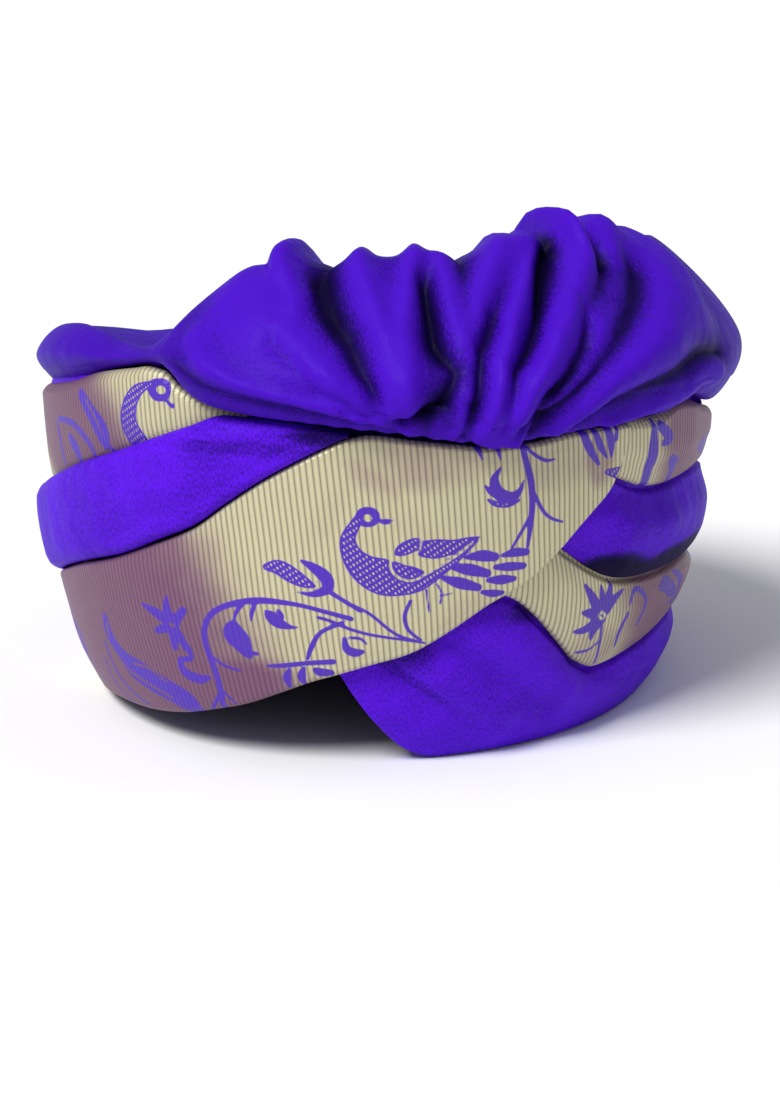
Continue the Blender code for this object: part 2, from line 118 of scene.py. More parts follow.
BAND_PLAIN_ROWS = (
    (-204, 46.6, 84, 0), (-180, 45.6, 83, 1), (-150, 42.6, 81, 1), (-120, 39.6, 79, 1),
    (-96, 38.6, 77, 1.5), (-78, 42.6, 80.5, 2), (-66, 50.8, 87, 2), (-54, 59.9, 97, 2),
    (-42, 69.4, 108, 2), (-33, 76.4, 116, 2), (-24, 86.4, 125, 2), (-18, 93.4, 131, 1.5),
    (-12, 104, 136.4, 1), (-6, 114.6, 136.2, 1), (0, 123.6, 135, 0.5), (3, 127.6, 134.2, 0),
    (6, 131.0, 133.4, 0))
BAND_BROCADE_ROWS = (
    (-204, 0, 46, 0), (-180, 0, 45, 0.5), (-150, 0, 42, 0.5), (-120, 0, 39, 0.5),
    (-96, 0, 38, 0.5), (-78, 0, 42, 0.5), (-66, 0.4, 50, 0.5), (-60, 2.5, 54.5, 0.5),
    (-54, 5, 59, 0.5), (-48, 7, 64, 0.5), (-36, 9.8, 73, 0.5), (-27, 13.4, 82, 0.5),
    (-18, 19.2, 92.4, 0.5), (-12, 23.6, 103.4, 0.5), (-6, 29.6, 114, 0.5), (0, 35.8, 123, 0.5),
    (3, 38.2, 127, 0.5), (6, 40.6, 130.4, 0.5), (9, 43, 131.6, 0.5), (15, 47.4, 129.6, 0.5),
    (21, 55.6, 127.4, 0.5), (27, 65, 125.4, 0.5), (33, 72, 125.6, 0.5), (39, 83, 127.2, 0.5),
    (42, 89.5, 127.4, 0), (45, 95.5, 127.4, 0), (48, 102, 127, 0), (51, 118, 126.6, 0))

# Profiles: level from bottom (0) to top (3), inner distance, outer distance, share of bulge.
# Levels 1 and 2 are the ends of the parts that lap over the wrap below and under the one above.
UNDER_PROFILE = (
    (0, TUCK_IN, -0.6, 0.3), (1, TUCK_IN, -0.1, 1), (1.25, TUCK_IN, -0.1, 1),
    (1.6, TUCK_IN, -0.3, 0.8),
    (2, TUCK_IN, -1.6, 0), (2.2, TUCK_IN, TUCK_OUT, 0), (3, TUCK_IN, -5.0, 0))
MIDDLE_PROFILE = (
    (0, TOP_IN, -1.8, 0), (0.5, TOP_IN, -0.4, 0.4), (1, TOP_IN, -0.1, 0.8),
    (1.4, TUCK_IN, -0.2, 1), (2, TUCK_IN, -1.8, 0), (2.2, TUCK_IN, TUCK_OUT, 0),
    (3, TUCK_IN, -5.0, 0))
OVER_PROFILE = (
    (0, TOP_IN, -1.8, 0), (0.6, TOP_IN, -0.5, 0.1), (1.3, TOP_IN, -0.2, 1),
    (2, TOP_IN, -0.2, 0.8), (3, TOP_IN, -1.4, 0))
TOP_PROFILE = (
    (0, TUCK_IN, -5.0, 0), (1, TUCK_IN, TUCK_OUT, 0), (1.25, TUCK_IN, -2.6, 0.2),
    (1.7, TUCK_IN, -2.2, 0.8), (2.2, TUCK_IN, -2.6, 0.9), (2.7, TUCK_IN, -3.6, 0.4),
    (3, TUCK_IN + 1.5, -5.4, 0))
PLAIN_BAND_PROFILE = (
    (0, BAND_IN, 5.0, 0), (0.5, BAND_IN, 6.6, 0.4), (1.3, BAND_IN, 6.4, 0.9),
    (1.7, BAND_IN, 6.4, 0.9), (2.5, BAND_IN, 5.6, 0.4), (3, BAND_IN, 3.6, 0))
BROCADE_BAND_PROFILE = (
    (0, BAND_IN, 3.4, 0), (0.4, BAND_IN, BAND_OUT, 0), (1.2, BAND_IN, BAND_OUT, 0.6),
    (1.5, BAND_IN, BAND_OUT, 1), (1.8, BAND_IN, BAND_OUT, 0.6), (2.6, BAND_IN, BAND_OUT, 0),
    (3, BAND_IN, 3.8, 0))

# Puff: angle, waist height, lip out from the flare, lip drop, belly out from the head oval,
# belly height, crest out from the head oval, crest height
PUFF_ROWS = (
    (-180, 109, -9, -1.5, 38, 117, 20, 121), (-150, 107, -9, -1.5, 38, 115, 20, 119),
    (-120, 110, -9, -1.5, 38, 117, 22, 120), (-105, 112, -8, -1.5, 42, 120, 25, 126),
    (-96, 112, -6, -1, 48, 124, 36, 131.5), (-84, 115, -4.5, -1, 52.5, 128, 41, 138),
    (-72, 122, -4.5, -1, 54.5, 135, 41.5, 146.5), (-60, 128.5, -4.5, -1, 55, 142, 41, 154),
    (-48, 135, -4.5, -1, 54.5, 147.5, 41, 158), (-42, 139.5, -4.5, -1, 54, 149.5, 40, 157.5),
    (-36, 144.5, -4.5, -1, 53, 150.5, 39, 156), (-30, 148, -4.5, -1, 52.5, 152.5, 40, 155.5),
    (-27, 149.5, -4, -1, 53, 154, 40, 158), (-24, 150.5, -2.5, -0.5, 55, 156.5, 38, 164.5),
    (-21, 148, 1.5, 0, 58.5, 158.5, 33, 173.5), (-18, 143.5, 5.5, 0.5, 61.5, 158, 28, 179.5),
    (-15, 141, 8.5, 1, 64, 157, 26, 182.8),
    (-12, 139.5, 10, 1, 66, 156, 25, 185), (-6, 137.6, 10, 1, 66, 156, 25, 188),
    (0, 136.4, 10, 1, 66, 156, 25, 188.5), (9, 133.8, 10, 1, 66, 155, 25, 190),
    (18, 130.4, 10, 1, 67, 154, 25, 190), (27, 127.2, 10, 1, 68, 153, 26, 190),
    (36, 128, 10, 1, 69, 154, 27, 192), (45, 128.6, 9, 1, 69, 155, 28, 195),
    (54, 128, 8, 1, 68, 156, 28, 196), (60, 127, 7, 1, 66, 156, 27, 195),
    (66, 131, 6, 1, 65, 154, 27, 192), (72, 128, 6, 1, 64, 150, 27, 189),
    (78, 124, 5, 1.5, 63, 146, 27, 186), (84, 120, 3, 1.5, 62, 144, 27, 184),
    (96, 117.5, 1.5, 1, 61, 142, 27, 178), (108, 118, -1, 0, 56, 143, 27, 172),
    (120, 119, -7, -1, 48, 141, 26, 165), (150, 114.5, -9, -1.5, 40, 126, 22, 141),
    (180, 109, -9, -1.5, 38, 117, 20, 121))

# Edge of a wrap: radius, its thickness at the very edge as a share, how closely steps crowd there
EDGE_RADIUS = 1.6
EDGE_FULLNESS = 0.45
EDGE_CROWDING = 0.54
# Steps of the meshes: angles with fine steps, also as counted on past the back, how much coarser
# the others are, steps up the inside
FRONT_HALF = (-84, 100)
FRONT_AGAIN = (270, 445)
COARSER = 3.0
INSIDE_STEPS = 9

# Lip of the puff: depth of the tuck behind it, reach of the tuck's end, how far a rolled lip goes
# back, in and up, and how much the tuck's end stands above the waist
LIP_DEPTH = 3.5
TUCK_REACH = 13.0
ROLL_BACK = 4.5
ROLL_IN = 0.5
ROLL_UP = 2.2
TUCK_UP = 0.8
# Point that leads the curve past the crest: in and down from it
LEAD_IN = 26.0
LEAD_DOWN = 7.0

# Grid of the puff: angles with fine steps, where its round ends, both steps, station of its last
# ring, stations before it over which the folds fade, and the easing of the lip in grid places
PUFF_FRONT = (-36.0, 108.0)
PUFF_END = 324.0
PUFF_FINE = 0.4
PUFF_COARSE = 1.8
LAST_RING = 3.9
FOLD_FADE = 0.7
LIP_EASE = 7
LIP_PART = 1.5

# Folds and creases, charted

# A valley falls away from its line this steeply, with a line rounded off this much
VALLEY_FALL = 1.25
VALLEY_ROUND = 0.04

# Size of a degree and of a station on the puff, by which its folds are laid out
MM_PER_DEGREE = 2.5
MM_PER_STATION = 36.0

# Folds of the puff: half width near the knot and at the far end, rise near the knot and at the
# far end, then the line from the knot outwards as angle and station. A negative rise is a valley.
PUFF_FOLDS = (
    (4, 6, -5, -6, ((12, 1.06), (11, 1.36), (9, 1.92), (6, 2.32), (2, 2.56), (0, 2.8))),
    (3, 4.5, -3, -4.5, ((11, 1.1), (8, 1.44), (6, 1.64), (3, 1.76), (0, 2.04), (-4, 2.26))),
    (6, 12, 4, 5, ((11, 1.2), (9, 1.44), (4, 1.9), (0, 2.18), (-6, 2.44), (-12, 2.72))),
    (5, 7, 3, 9, ((-2, 2.62), (-6, 2.85), (-8, 3.2))),
    (2.5, 3, -2, -4, ((-4, 2.6), (-8, 2.8), (-11, 3.05))),
    (3, 5, 2.5, 2.5, ((10, 1.28), (4, 1.5), (-2, 1.64), (-8, 1.8), (-14, 2.08), (-16, 2.26))),
    (3, 8, -2, -3, ((9, 1.14), (0, 1.34), (-10, 1.52), (-18, 1.8))),
    (4, 6, -2, -3, ((4, 2.5), (1.5, 2.85), (0.5, 3.25))),
    (5, 6, 4, 4, ((13, 1.1), (12, 1.38), (12, 1.88), (11, 2.32), (9, 2.6), (7, 2.9), (7, 3.2))),
    (3, 6, 2.5, 5, ((14, 1.3), (14, 2.0), (14, 2.4), (16, 2.8), (18.5, 3.2))),
    (4.5, 5, -10, -8, ((13, 1.3), (15, 1.42), (18, 1.62), (20, 2.1), (18, 2.32), (18, 2.72))),
    (3.5, 6, 4, 3, ((20, 1.04), (21, 1.3), (20, 1.78), (20, 2.12), (21, 2.38), (22, 2.94))),
    (4, 4, -1, -5, ((23.5, 2.4), (25, 2.75), (27, 3.2))),
    (3, 6, 2, 5, ((22, 1.8), (23, 2.3), (26, 2.6), (31, 2.85), (37, 3.15))),
    (3, 3, -7, -5,
     ((21, 1.06), (22, 1.52), (23, 2.04), (24, 2.26), (28, 2.5), (33, 2.72), (41, 3.02))),
    (3, 5, 4, 7, ((23, 1.1), (24, 1.6), (26, 2.12), (30, 2.46), (36, 2.76), (42.5, 3.1))),
    (2, 4, -2, -15, ((26, 1.4), (28, 2.08), (33, 2.36), (38, 2.7), (43, 2.95), (45.5, 3.25))),
    (5, 6, 5, 10,
     ((26, 1.1), (27, 1.54), (30, 1.92), (35, 2.26), (41, 2.48), (47, 2.72), (49.5, 3.15))),
    (4, 6, -8, -12,
     ((29, 1.3), (32, 1.72), (37, 2.08), (39, 2.2), (42, 2.42), (47, 2.54), (51, 2.7))),
    (4, 8, 5, 5,
     ((29, 1.1), (30, 1.5), (34, 1.74), (38, 2.06), (44, 2.34), (51, 2.62), (58, 2.95))),
    (3.5, 6, -6, -8,
     ((31, 1.08), (32, 1.42), (35, 1.68), (41, 2.04), (46, 2.22), (52, 2.38), (57, 2.55))),
    (6, 14, 4, 6, ((34, 1.2), (41, 1.82), (57, 2.28), (68, 2.54))),
    (4, 8, -3.5, -6, ((38, 1.14), (41, 1.4), (48, 1.56), (54, 1.6), (63, 1.8), (72, 1.86))),
    (4, 9, 3, 4, ((44, 1.1), (56, 1.3), (70, 1.5))),
)
# Hollow in the crown behind the hump at the left: how deep it dips, laid out as the folds are
CROWN_DIP = ((13, 12, 8.5, 8, ((-85, 3.38), (-50, 3.36), (-32, 3.3))),)

# Fine pleats at the knot: the knot's angle and half width, angle between pleats, their rise, the
# station where they rise most and how many stations on they have faded by two thirds
KNOT_ANGLE = 20.0
KNOT_WIDTH = 16.0
PLEAT_ANGLE = 3.4
PLEAT_RISE = 0.9
PLEAT_STATION = 1.1
PLEAT_REACH = 0.45

# Painted shade and highlight on the puff: depth of a fold below the cloth around it at which its
# painted shade is darkest, and how much of the level around it counts, averaged over that many grid
# places along and round the puff. Cloth above that level gets a painted highlight.
DARK_DEPTH = 5.5
LEVEL_SHARE = 0.6
LEVEL_ALONG = 12
LEVEL_ROUND = 30

# Folds of the wraps, laid out in millimetres across and up the cloth, with the same columns
RIM_FOLDS = (
    (3.5, 6, -4, -1.5, ((20, 54), (27, 42), (42, 29), (60, 19), (84, 11))),
    (6, 8, 3, 2.5, ((32, 52), (46, 38), (60, 27), (78, 14))),
    (3.5, 5, -3, -2.5, ((44, 58), (58, 46), (78, 31), (100, 16))),
    (7, 9, 2.5, 2, ((58, 58), (84, 42), (112, 26))),
    (4, 6, -2.2, -2, ((80, 58), (98, 48), (122, 33))),
    (4, 6, -1.6, -1.8, ((110, 33), (140, 20), (175, 15))),
)
SIDE_FOLDS = (
    (6, 7, 2.5, 2, ((108, 92), (130, 84), (160, 80))),
    (4, 5, -1.6, -1.2, ((104, 80), (118, 74), (136, 71), (165, 69))),
    (3, 5, -1.2, -1, ((108, 104), (124, 98), (150, 95), (190, 90))),
)
PLAIN_BAND_FOLDS = (
    (3, 6, -2.2, -1.2, ((16, 133), (2, 132.5), (-16, 128), (-36, 119))),
    (3, 6, 1.6, 1, ((14, 134.5), (-2, 135), (-20, 131.5), (-40, 124))),
    (2.5, 5, -1.5, -0.8, ((8, 131.5), (-8, 125.5), (-26, 113), (-50, 98))),
    (5, 8, 0.8, 1, ((-50, 108), (-80, 92), (-120, 74))),
    (4, 7, -0.8, -0.8, ((-56, 96), (-90, 76), (-130, 62))),
)

# Soft patches: across and height of the middle, half width, half height, how far the middle
# leans across for each millimetre up, and strength.
# Painted shade on the brocade: mauve where it turns from the light and under the puff
FRONT_PATCHES = (
    (-104, 55, 86, 90, -0.35, 1.0), (-300, 25, 52, 90, 0.2, 0.8), (-440, 25, 50, 90, -0.2, 0.8),
    (42, 122, 30, 13, 0.4, 0.35), (88, 119, 16, 14, 0, 0.3), (7, 102, 6, 14, 0.5, 0.15),
    (30, 104, 7, 22, -0.8, 0.15), (108, 117, 7, 14, 0, 0.5), (-14, 28, 34, 15, 0, 0.45),
    (56, 60, 12, 12, 0.3, 0.2))
LOWER_PATCHES = (
    (178, 50, 46, 70, -0.2, 0.85), (120, 36, 14, 10, 0, 0.35), (300, 45, 40, 60, 0.2, 0.8))
UPPER_PATCHES = (
    (719, 137, 60, 90, -0.9, 1.0), (190, 110, 44, 60, -0.2, 1.0), (113, 117, 6, 12, 0, 0.6),
    (330, 90, 50, 60, 0.2, 0.8), (520, 80, 60, 60, -0.2, 0.8), (826, 128, 9, 8, -0.8, 0.3))
# Where the satin lies in its own shadow
RIM_SHADES = ((34, 38, 4, 14, -1.35, 0.2), (30, 52, 14, 12, -0.7, 0.4), (96, 59, 22, 6, 0, 0.5),
              (150, 34, 40, 6, 0, 0.6))
SIDE_SHADES = ((118, 66, 26, 9, 0, 1.0), (170, 61, 44, 8, 0, 0.9), (112, 112, 20, 7, -0.3, 0.6),
               (160, 108, 40, 7, 0, 0.6))
BAND_SHADES = ((10, 132, 16, 4, 0.5, 0.5), (-20, 126, 30, 3, 2.0, 0.2))

# Stage: half the floor's side, sky, key light, lens, and where the key and the camera stand:
# degrees round from the front, degrees up, distance and the point looked at, in metres
FLOOR_HALF = 9
SKY_STRENGTH = 0.42
KEY_STRENGTH = 3.3
KEY_SPREAD = 24
KEY_FROM = (-26, 48, 2.0, (0, 0, 0.09))
LENS = 103.0
CAMERA_FROM = (10, 15, 1.3, (0.003447, 0.000608, 0.047))

# Woven figures, charted on squared paper

# Side of a chart's square, distance given to cloth with no figure near, and how far beyond its
# edge a stroke is looked for
SQUARE = 0.82
NO_FIGURE = 9.0
STROKE_MARGIN = 2.0

# A chart is a list of strokes: what is woven in the stroke, then its points as x, y and half
# width in squares. Later strokes lie over earlier ones: plain violet, speckled violet or gold.
VIOLET, SPECKLED, GOLD = 1, 2, 0

PEACOCK = (
    (SPECKLED, (-27, 18, 2.4), (-31.5, 9, 3.6), (-29.5, 1, 5.0), (-23, -5.5, 7.4),
     (-14, -9, 9.4), (-5, -10.5, 7.8), (3, -11, 5.0), (10, -8.5, 3.0), (20, -1, 2.6),
     (32, 8.5, 1.0)),
    (VIOLET, (-22.5, 20, 5.2), (-21.5, 20, 5.2)),
    (GOLD, (-22, 19.6, 1.9), (-21.8, 19.4, 1.9)),
    (VIOLET, (-16.5, 18, 0.7), (-13, 18, 1.5), (-10, 18.6, 0.4)),
    (SPECKLED, (-8, 2.5, 1.0), (-5, 4.5, 3.2), (0, 7, 3.4), (3, 9, 1.4)),
    (SPECKLED, (6, 5, 4.4), (12, 5, 5.0), (20, 6, 3.6), (28, 9, 1.6), (34, 10.2, 0.4)),
    (VIOLET, (-9, -4.5, 0.6), (-3, -5.5, 2.6), (3, -6.5, 1.9), (6, -6.8, 0.4)),
    (GOLD, (4, 9, 0.6), (3.5, 5, 0.6), (0.5, 1, 0.6)),
    (GOLD, (-10, -0.5, 0.7), (-4, -0.5, 0.7), (2, -2, 0.7), (8, -6, 0.7)),
    (GOLD, (-10, 2, 0.6), (-11, -4, 0.7), (-7, -9, 0.7), (0, -10.5, 0.7), (7, -7, 0.7),
     (16, -2, 0.7), (24, 3, 0.7), (30, 8, 0.5)),
    (VIOLET, (27, 0.6, 1.2), (35, 1.0, 3.0), (42, 0, 2.3)),
    (VIOLET, (19.5, -4.0, 1.3), (28, -5.4, 3.1), (38, -7.8, 2.2)),
    (VIOLET, (15.5, -9.4, 1.3), (24, -12.0, 3.0), (33.5, -14.6, 2.0)),
    (VIOLET, (46.5, 0.6, 1.2), (53, 1.6, 2.4), (59.5, 1.2, 1.8)),
    (VIOLET, (42.5, -5.0, 1.4), (50, -5.2, 2.4), (58, -5.4, 1.8)),
    (VIOLET, (39, -11.2, 1.4), (46, -11.4, 2.6), (53, -11.4, 1.5)),
    (VIOLET, (36, -17.0, 1.2), (42, -18.0, 2.1), (47, -18.0, 1.2)),
    (VIOLET, (7, -15, 0.6), (7.6, -20, 0.6), (8.8, -26, 0.6)),
    (VIOLET, (12, -12, 0.6), (14.8, -17, 0.6), (14, -22, 0.6)),
    (VIOLET, (14, -18, 0.5), (20, -17, 0.4)),
)
CRESCENT_FLOWER = (
    (VIOLET, (-2.5, 12.5, 0.6), (-5.5, 7, 2.0), (-4, 0.5, 3.0), (2, -2, 2.7), (6.5, 1, 1.5),
     (8.5, 6, 0.5)),
    (VIOLET, (-10, 4, 0.5), (-7, 0.5, 1.4), (-3, -1, 1.6)),
    (SPECKLED, (-8.5, -3, 0.7), (-5, -5, 1.4), (1, -5.5, 1.4), (6, -3.5, 0.9)),
)
HANGING_VINE = (
    (VIOLET, (-4, 26, 1.4), (-1.5, 14, 1.5), (1, 4, 1.7), (1.8, -6, 1.6), (1.2, -17, 1.4),
     (-0.2, -29, 0.8)),
    (VIOLET, (1.2, -13, 0.9), (-3, -21, 0.9), (-8, -30, 0.7)),
    (VIOLET, (2.2, -2, 1.0), (7, -11, 0.9), (11.5, -15, 0.8), (17.5, -17, 0.6)),
    (VIOLET, (-2, 21, 0.8), (2.5, 16.5, 0.8), (8, 13.5, 0.9), (12.5, 14, 0.5)),
    (VIOLET, (-23, 20, 1.6), (-21, 13.5, 0.4)),
    (VIOLET, (-14, 20, 1.5), (-13, 13.5, 0.4)),
)
LOW_VINES = (
    (VIOLET, (-26, 17, 0.8), (-20, 13, 0.8), (-10, 7, 0.8), (0, 2, 0.8), (13, -8, 0.8),
     (28, -13, 0.6)),
    (VIOLET, (-26, 0, 0.9), (-20, -1.5, 0.9), (-11, -5, 0.9), (0, -8, 0.8), (18, -11, 0.7),
     (28, -13, 0.5)),
    (VIOLET, (20, 8, 0.9), (17.2, 1, 1.0), (19.2, -6, 0.9), (26, -11.5, 0.7)),
    (VIOLET, (-13, -10, 1.1), (-12, -15, 2.0), (-8, -17, 2.4), (-4, -16.5, 1.2)),
    (VIOLET, (-10, -9.5, 0.8), (-5, -10, 0.8), (-2, -12.5, 0.6)),
)
MANGO_LEAF = (
    (SPECKLED, (-15, 5, 1.8), (-9, 5, 3.8), (-2, 1, 4.0), (5, -3, 2.5), (9, -5, 0.8)),
    (VIOLET, (1.5, 8.5, 0.7), (7, 5.5, 2.2), (13, 0.5, 3.2), (14, -5, 2.8), (8, -8, 1.5),
     (0.5, -7, 0.5)),
    (GOLD, (0, 7, 0.4), (6, 2, 0.7), (11, -3, 0.7), (8, -5.5, 0.6), (-1, -4.5, 0.4)),
    (VIOLET, (15, -7, 0.8), (22.5, -12, 0.8), (30, -17, 0.8)),
)
ARCH_VINE = (
    (VIOLET, (47.5, -0.5, 1.2), (36, 4, 1.1), (23, 8.5, 1.1), (8, 11, 1.6), (-4, 10, 1.4),
     (-14, 6, 1.4), (-18.8, 0, 1.4), (-20, -8, 1.6), (-18, -17, 1.6), (-15, -26, 1.6),
     (-13, -36, 1.6), (-12.5, -46, 1.4)),
    (VIOLET, (0, 10.5, 1.0), (-3.5, 6, 1.0), (-5, 1, 0.5)),
    (VIOLET, (5, 10, 1.0), (3.5, 5, 1.0), (3.5, 1, 0.5)),
    (VIOLET, (-16, -18, 0.8), (-10, -22, 0.8), (-2, -24.5, 0.5)),
    (VIOLET, (-13, -36, 1.0), (-20, -46, 0.8)),
    (VIOLET, (-13, -34, 0.8), (-5, -42, 0.5)),
    (VIOLET, (44, -2, 1.0), (35, -6, 1.0), (31.5, -13, 1.2), (30, -19, 0.8)),
)
BELL = (
    (VIOLET, (-2, 9, 1.0), (-2, 3, 5.2), (1, -1, 5.0), (3.5, -6, 3.0), (5.5, -9, 1.2)),
    (VIOLET, (5, -7, 1.2), (9, -7.5, 0.9)),
)
COMMA_BUD = (
    (VIOLET, (-6, 4.5, 0.6), (-3, 1.5, 3.0), (0.5, -1.5, 2.7), (6, -3.5, 1.1), (9, -3.5, 0.5)),
    (VIOLET, (0, 4.6, 1.0), (1.6, 2, 1.2), (1, -1, 1.0)),
)
STAR_FLOWER = (
    (VIOLET, (-16, 10, 0.7), (-8, 5.5, 2.3), (0, 0, 2.6)),
    (VIOLET, (-4, 14, 0.6), (-3, 7, 2.2), (0, 0, 2.4)),
    (VIOLET, (4.5, 7, 1.6), (0, 0, 2.6)),
    (VIOLET, (-8, -3, 1.4), (-1, -1, 2.4)),
    (VIOLET, (1, -11, 1.8), (0, -2, 2.6)),
    (VIOLET, (7, -12, 2.0), (1, -2, 2.6)),
    (GOLD, (-0.8, 0, 0.9), (0.2, -0.4, 0.9)),
    (VIOLET, (8, -12, 1.2), (9, -17, 1.2), (4, -18, 1.4), (6, -24, 2.2), (13, -27.5, 2.2),
     (18, -27, 0.9)),
)
LONG_PLUME = (
    (VIOLET, (-19, 26, 1.4), (-17, 18, 2.8), (-12, 10, 2.6), (-5, 2, 4.4), (4, -4, 5.0),
     (14, -11, 4.4), (22, -17, 4.4), (27, -23, 2.8)),
    (GOLD, (-18, 23, 0.6), (-17.4, 17, 0.5)),
    (GOLD, (-13, 8, 0.4), (-7, 0.5, 0.5), (4, -7, 0.5), (16, -15, 0.4)),
    (GOLD, (-4, 3, 0.4), (5, 0, 0.5), (13, -7, 0.4)),
    (VIOLET, (-20, 13, 0.7), (-15, 1, 0.7), (-7, -10, 0.7), (3, -18, 0.6)),
    (VIOLET, (-22, 5, 0.5), (-16, -8, 0.6), (-7, -18, 0.5)),
)
CURLS = (
    (VIOLET, (-17.5, 1.8, 0.7), (-10, 2.2, 1.2), (2, 3.5, 1.2), (14, 4, 1.4)),
    (VIOLET, (-7, 0, 1.0), (-8.2, -4, 2.0), (-6.5, -8.5, 0.7)),
    (VIOLET, (0, 1, 1.0), (-1, -3, 2.0), (0.5, -7.5, 0.7)),
    (VIOLET, (6, 0, 1.6), (8, -1, 2.2), (13, -1.5, 1.8)),
)
FAN = (
    (VIOLET, (-9, 12, 1.6), (-5.5, 1, 2.0), (-1, -7.5, 0.9)),
    (VIOLET, (-3.5, 12, 1.0), (0, 2, 1.7), (3.2, -4.5, 0.5)),
    (VIOLET, (3.5, 12, 1.8), (5.5, 3, 2.0), (5.5, -3.5, 0.8)),
    (VIOLET, (9, 12, 1.0), (8, 5, 1.3)),
    (SPECKLED, (3, -11.5, 1.2), (8.5, -12, 2.6), (10, -12, 2.4)),
)
BAR_AND_BUD = (
    (VIOLET, (1, 15, 1.2), (-0.5, 0, 3.0), (-2, -18, 2.6)),
    (VIOLET, (4, 13, 2.0), (8, 7, 2.4), (4.5, 4, 1.2)),
    (VIOLET, (10, -4, 1.6), (14, -8, 2.6), (13, -15, 1.8)),
)
SPRAY = (
    (VIOLET, (-6.7, 14.5, 0.8), (-4, 8, 2.3), (-1, 1, 2.4)),
    (VIOLET, (2, 14.5, 0.6), (1.5, 9, 2.0), (0, 2, 2.4)),
    (VIOLET, (9, 17.5, 0.5), (6, 11, 2.1), (1, 2, 2.4)),
    (VIOLET, (15, 13, 0.5), (8, 8, 1.8), (1, 1, 2.4)),
    (VIOLET, (-10, 1, 0.8), (-6, 1, 2.1), (0, 0, 2.4)),
    (VIOLET, (-14, -9, 0.7), (-9, -7.5, 1.9), (-2, -2, 2.4)),
    (VIOLET, (-5.5, -12, 0.9), (-4.5, -8, 2.1), (0, -2, 2.4)),
    (GOLD, (-0.3, 1.8, 0.6), (1.6, 0.2, 0.6), (-0.1, -1.8, 0.6), (-1.8, 0, 0.6), (-0.3, 1.8, 0.6)),
    (VIOLET, (0, -5, 0.7), (-0.5, -14, 0.7), (-1, -25, 0.7)),
    (VIOLET, (-0.8, -13, 0.6), (-6, -18, 0.7), (-12, -20, 0.6)),
    (VIOLET, (15.5, 1, 1.0), (11, -8, 1.3), (9.5, -16, 0.7)),
    (VIOLET, (17, 6, 0.8), (22, 13, 1.1), (27.5, 11, 1.1), (27.5, 4.5, 1.1), (23, -5, 0.8)),
)
PEACOCK_HEAD = (
    (SPECKLED, (1, 9, 1.2), (-6, 5, 3.0), (-10, -3, 4.4), (-10, -12, 5.2), (-6, -21, 5.6)),
    (VIOLET, (4, 5.5, 5.0), (5.5, 5.5, 5.0)),
    (GOLD, (5, 5.5, 1.8), (6, 5.5, 1.8)),
    (VIOLET, (7.5, 0.5, 0.6), (10.5, -3, 1.0), (11, -1.5, 0.4)),
)
NARROW_LEAF = (
    (VIOLET, (-7.5, 10, 2.6), (-2, 2, 3.2), (3, -6, 4.2), (5, -13, 2.4)),
    (GOLD, (-5, 8, 0.5), (0, 0, 0.5), (4, -9, 0.4)),
    (VIOLET, (5, -13, 0.8), (9, -17, 0.8)),
)
NESTED_LEAF = (
    (VIOLET, (-6, 12, 0.8), (2, 9, 1.1), (9, 0, 1.2), (12, -8, 0.8)),
    (VIOLET, (1, 2, 1.6), (3.5, -3, 2.4), (5.5, -9, 1.2)),
    (VIOLET, (-7, 10, 0.8), (-5, 1, 1.0), (-3, -10, 0.8)),
)

# Where each chart is woven: across and height of its middle, then how it is stretched across and
# up, and how far it leans up and sideways, because the cloth was wound on a slant.
FRONT_FIGURES = (
    (PEACOCK, 36, 85.5, 0.85, 0.95, -0.04, 0),
    (CRESCENT_FLOWER, 68.5, 108, 0.95, 0.95, -0.08, -0.04),
    (HANGING_VINE, 77, 109, 1, 0.95, -0.12, -0.04), (LOW_VINES, 21.5, 63, 0.85, 1, 0, 0),
    (MANGO_LEAF, -3.5, 78, 0.9, 0.95, 0.04, 0.04), (ARCH_VINE, -24, 58.5, 1, 1, 0.12, 0.12),
    (BELL, -27, 51.5, 1.05, 1, 0.14, 0.14), (COMMA_BUD, -11, 61, 0.95, 1, 0.08, 0.08),
    (STAR_FLOWER, -55, 53, 1.25, 1.05, 0.24, 0.26), (LONG_PLUME, -80.5, 29, 1.7, 1.15, 0.42, 0.48),
    (CURLS, -3, 41, 0.95, 1.05, 0.06, 0.08), (FAN, 107, 119.5, 1.2, 0.95, -0.2, -0.12),
    (MANGO_LEAF, -150, 27, 1.1, 1, 0, 0), (STAR_FLOWER, -190, 26, 1.1, 0.8, 0, 0),
    (PEACOCK, -235, 24, 0.9, 0.8, 0, 0), (MANGO_LEAF, -290, 24, 1.1, 1, 0, 0),
    (STAR_FLOWER, -330, 26, 1.1, 0.8, 0, 0), (PEACOCK, -380, 24, 0.9, 0.8, 0, 0),
    (MANGO_LEAF, -430, 24, 1.1, 1, 0, 0), (STAR_FLOWER, -470, 26, 1.1, 0.8, 0, 0),
)
LOWER_FIGURES = (
    (SPRAY, 120.5, 51, 1.4, 1.05, -0.32, -0.3), (MANGO_LEAF, 178, 48, 1.1, 1, 0, 0),
    (SPRAY, 225, 46, 1, 0.8, 0, 0), (MANGO_LEAF, 280, 42, 1.1, 0.9, 0, 0),
    (SPRAY, 330, 38, 1, 0.7, 0, 0), (MANGO_LEAF, 380, 32, 1.1, 0.8, 0, 0),
)
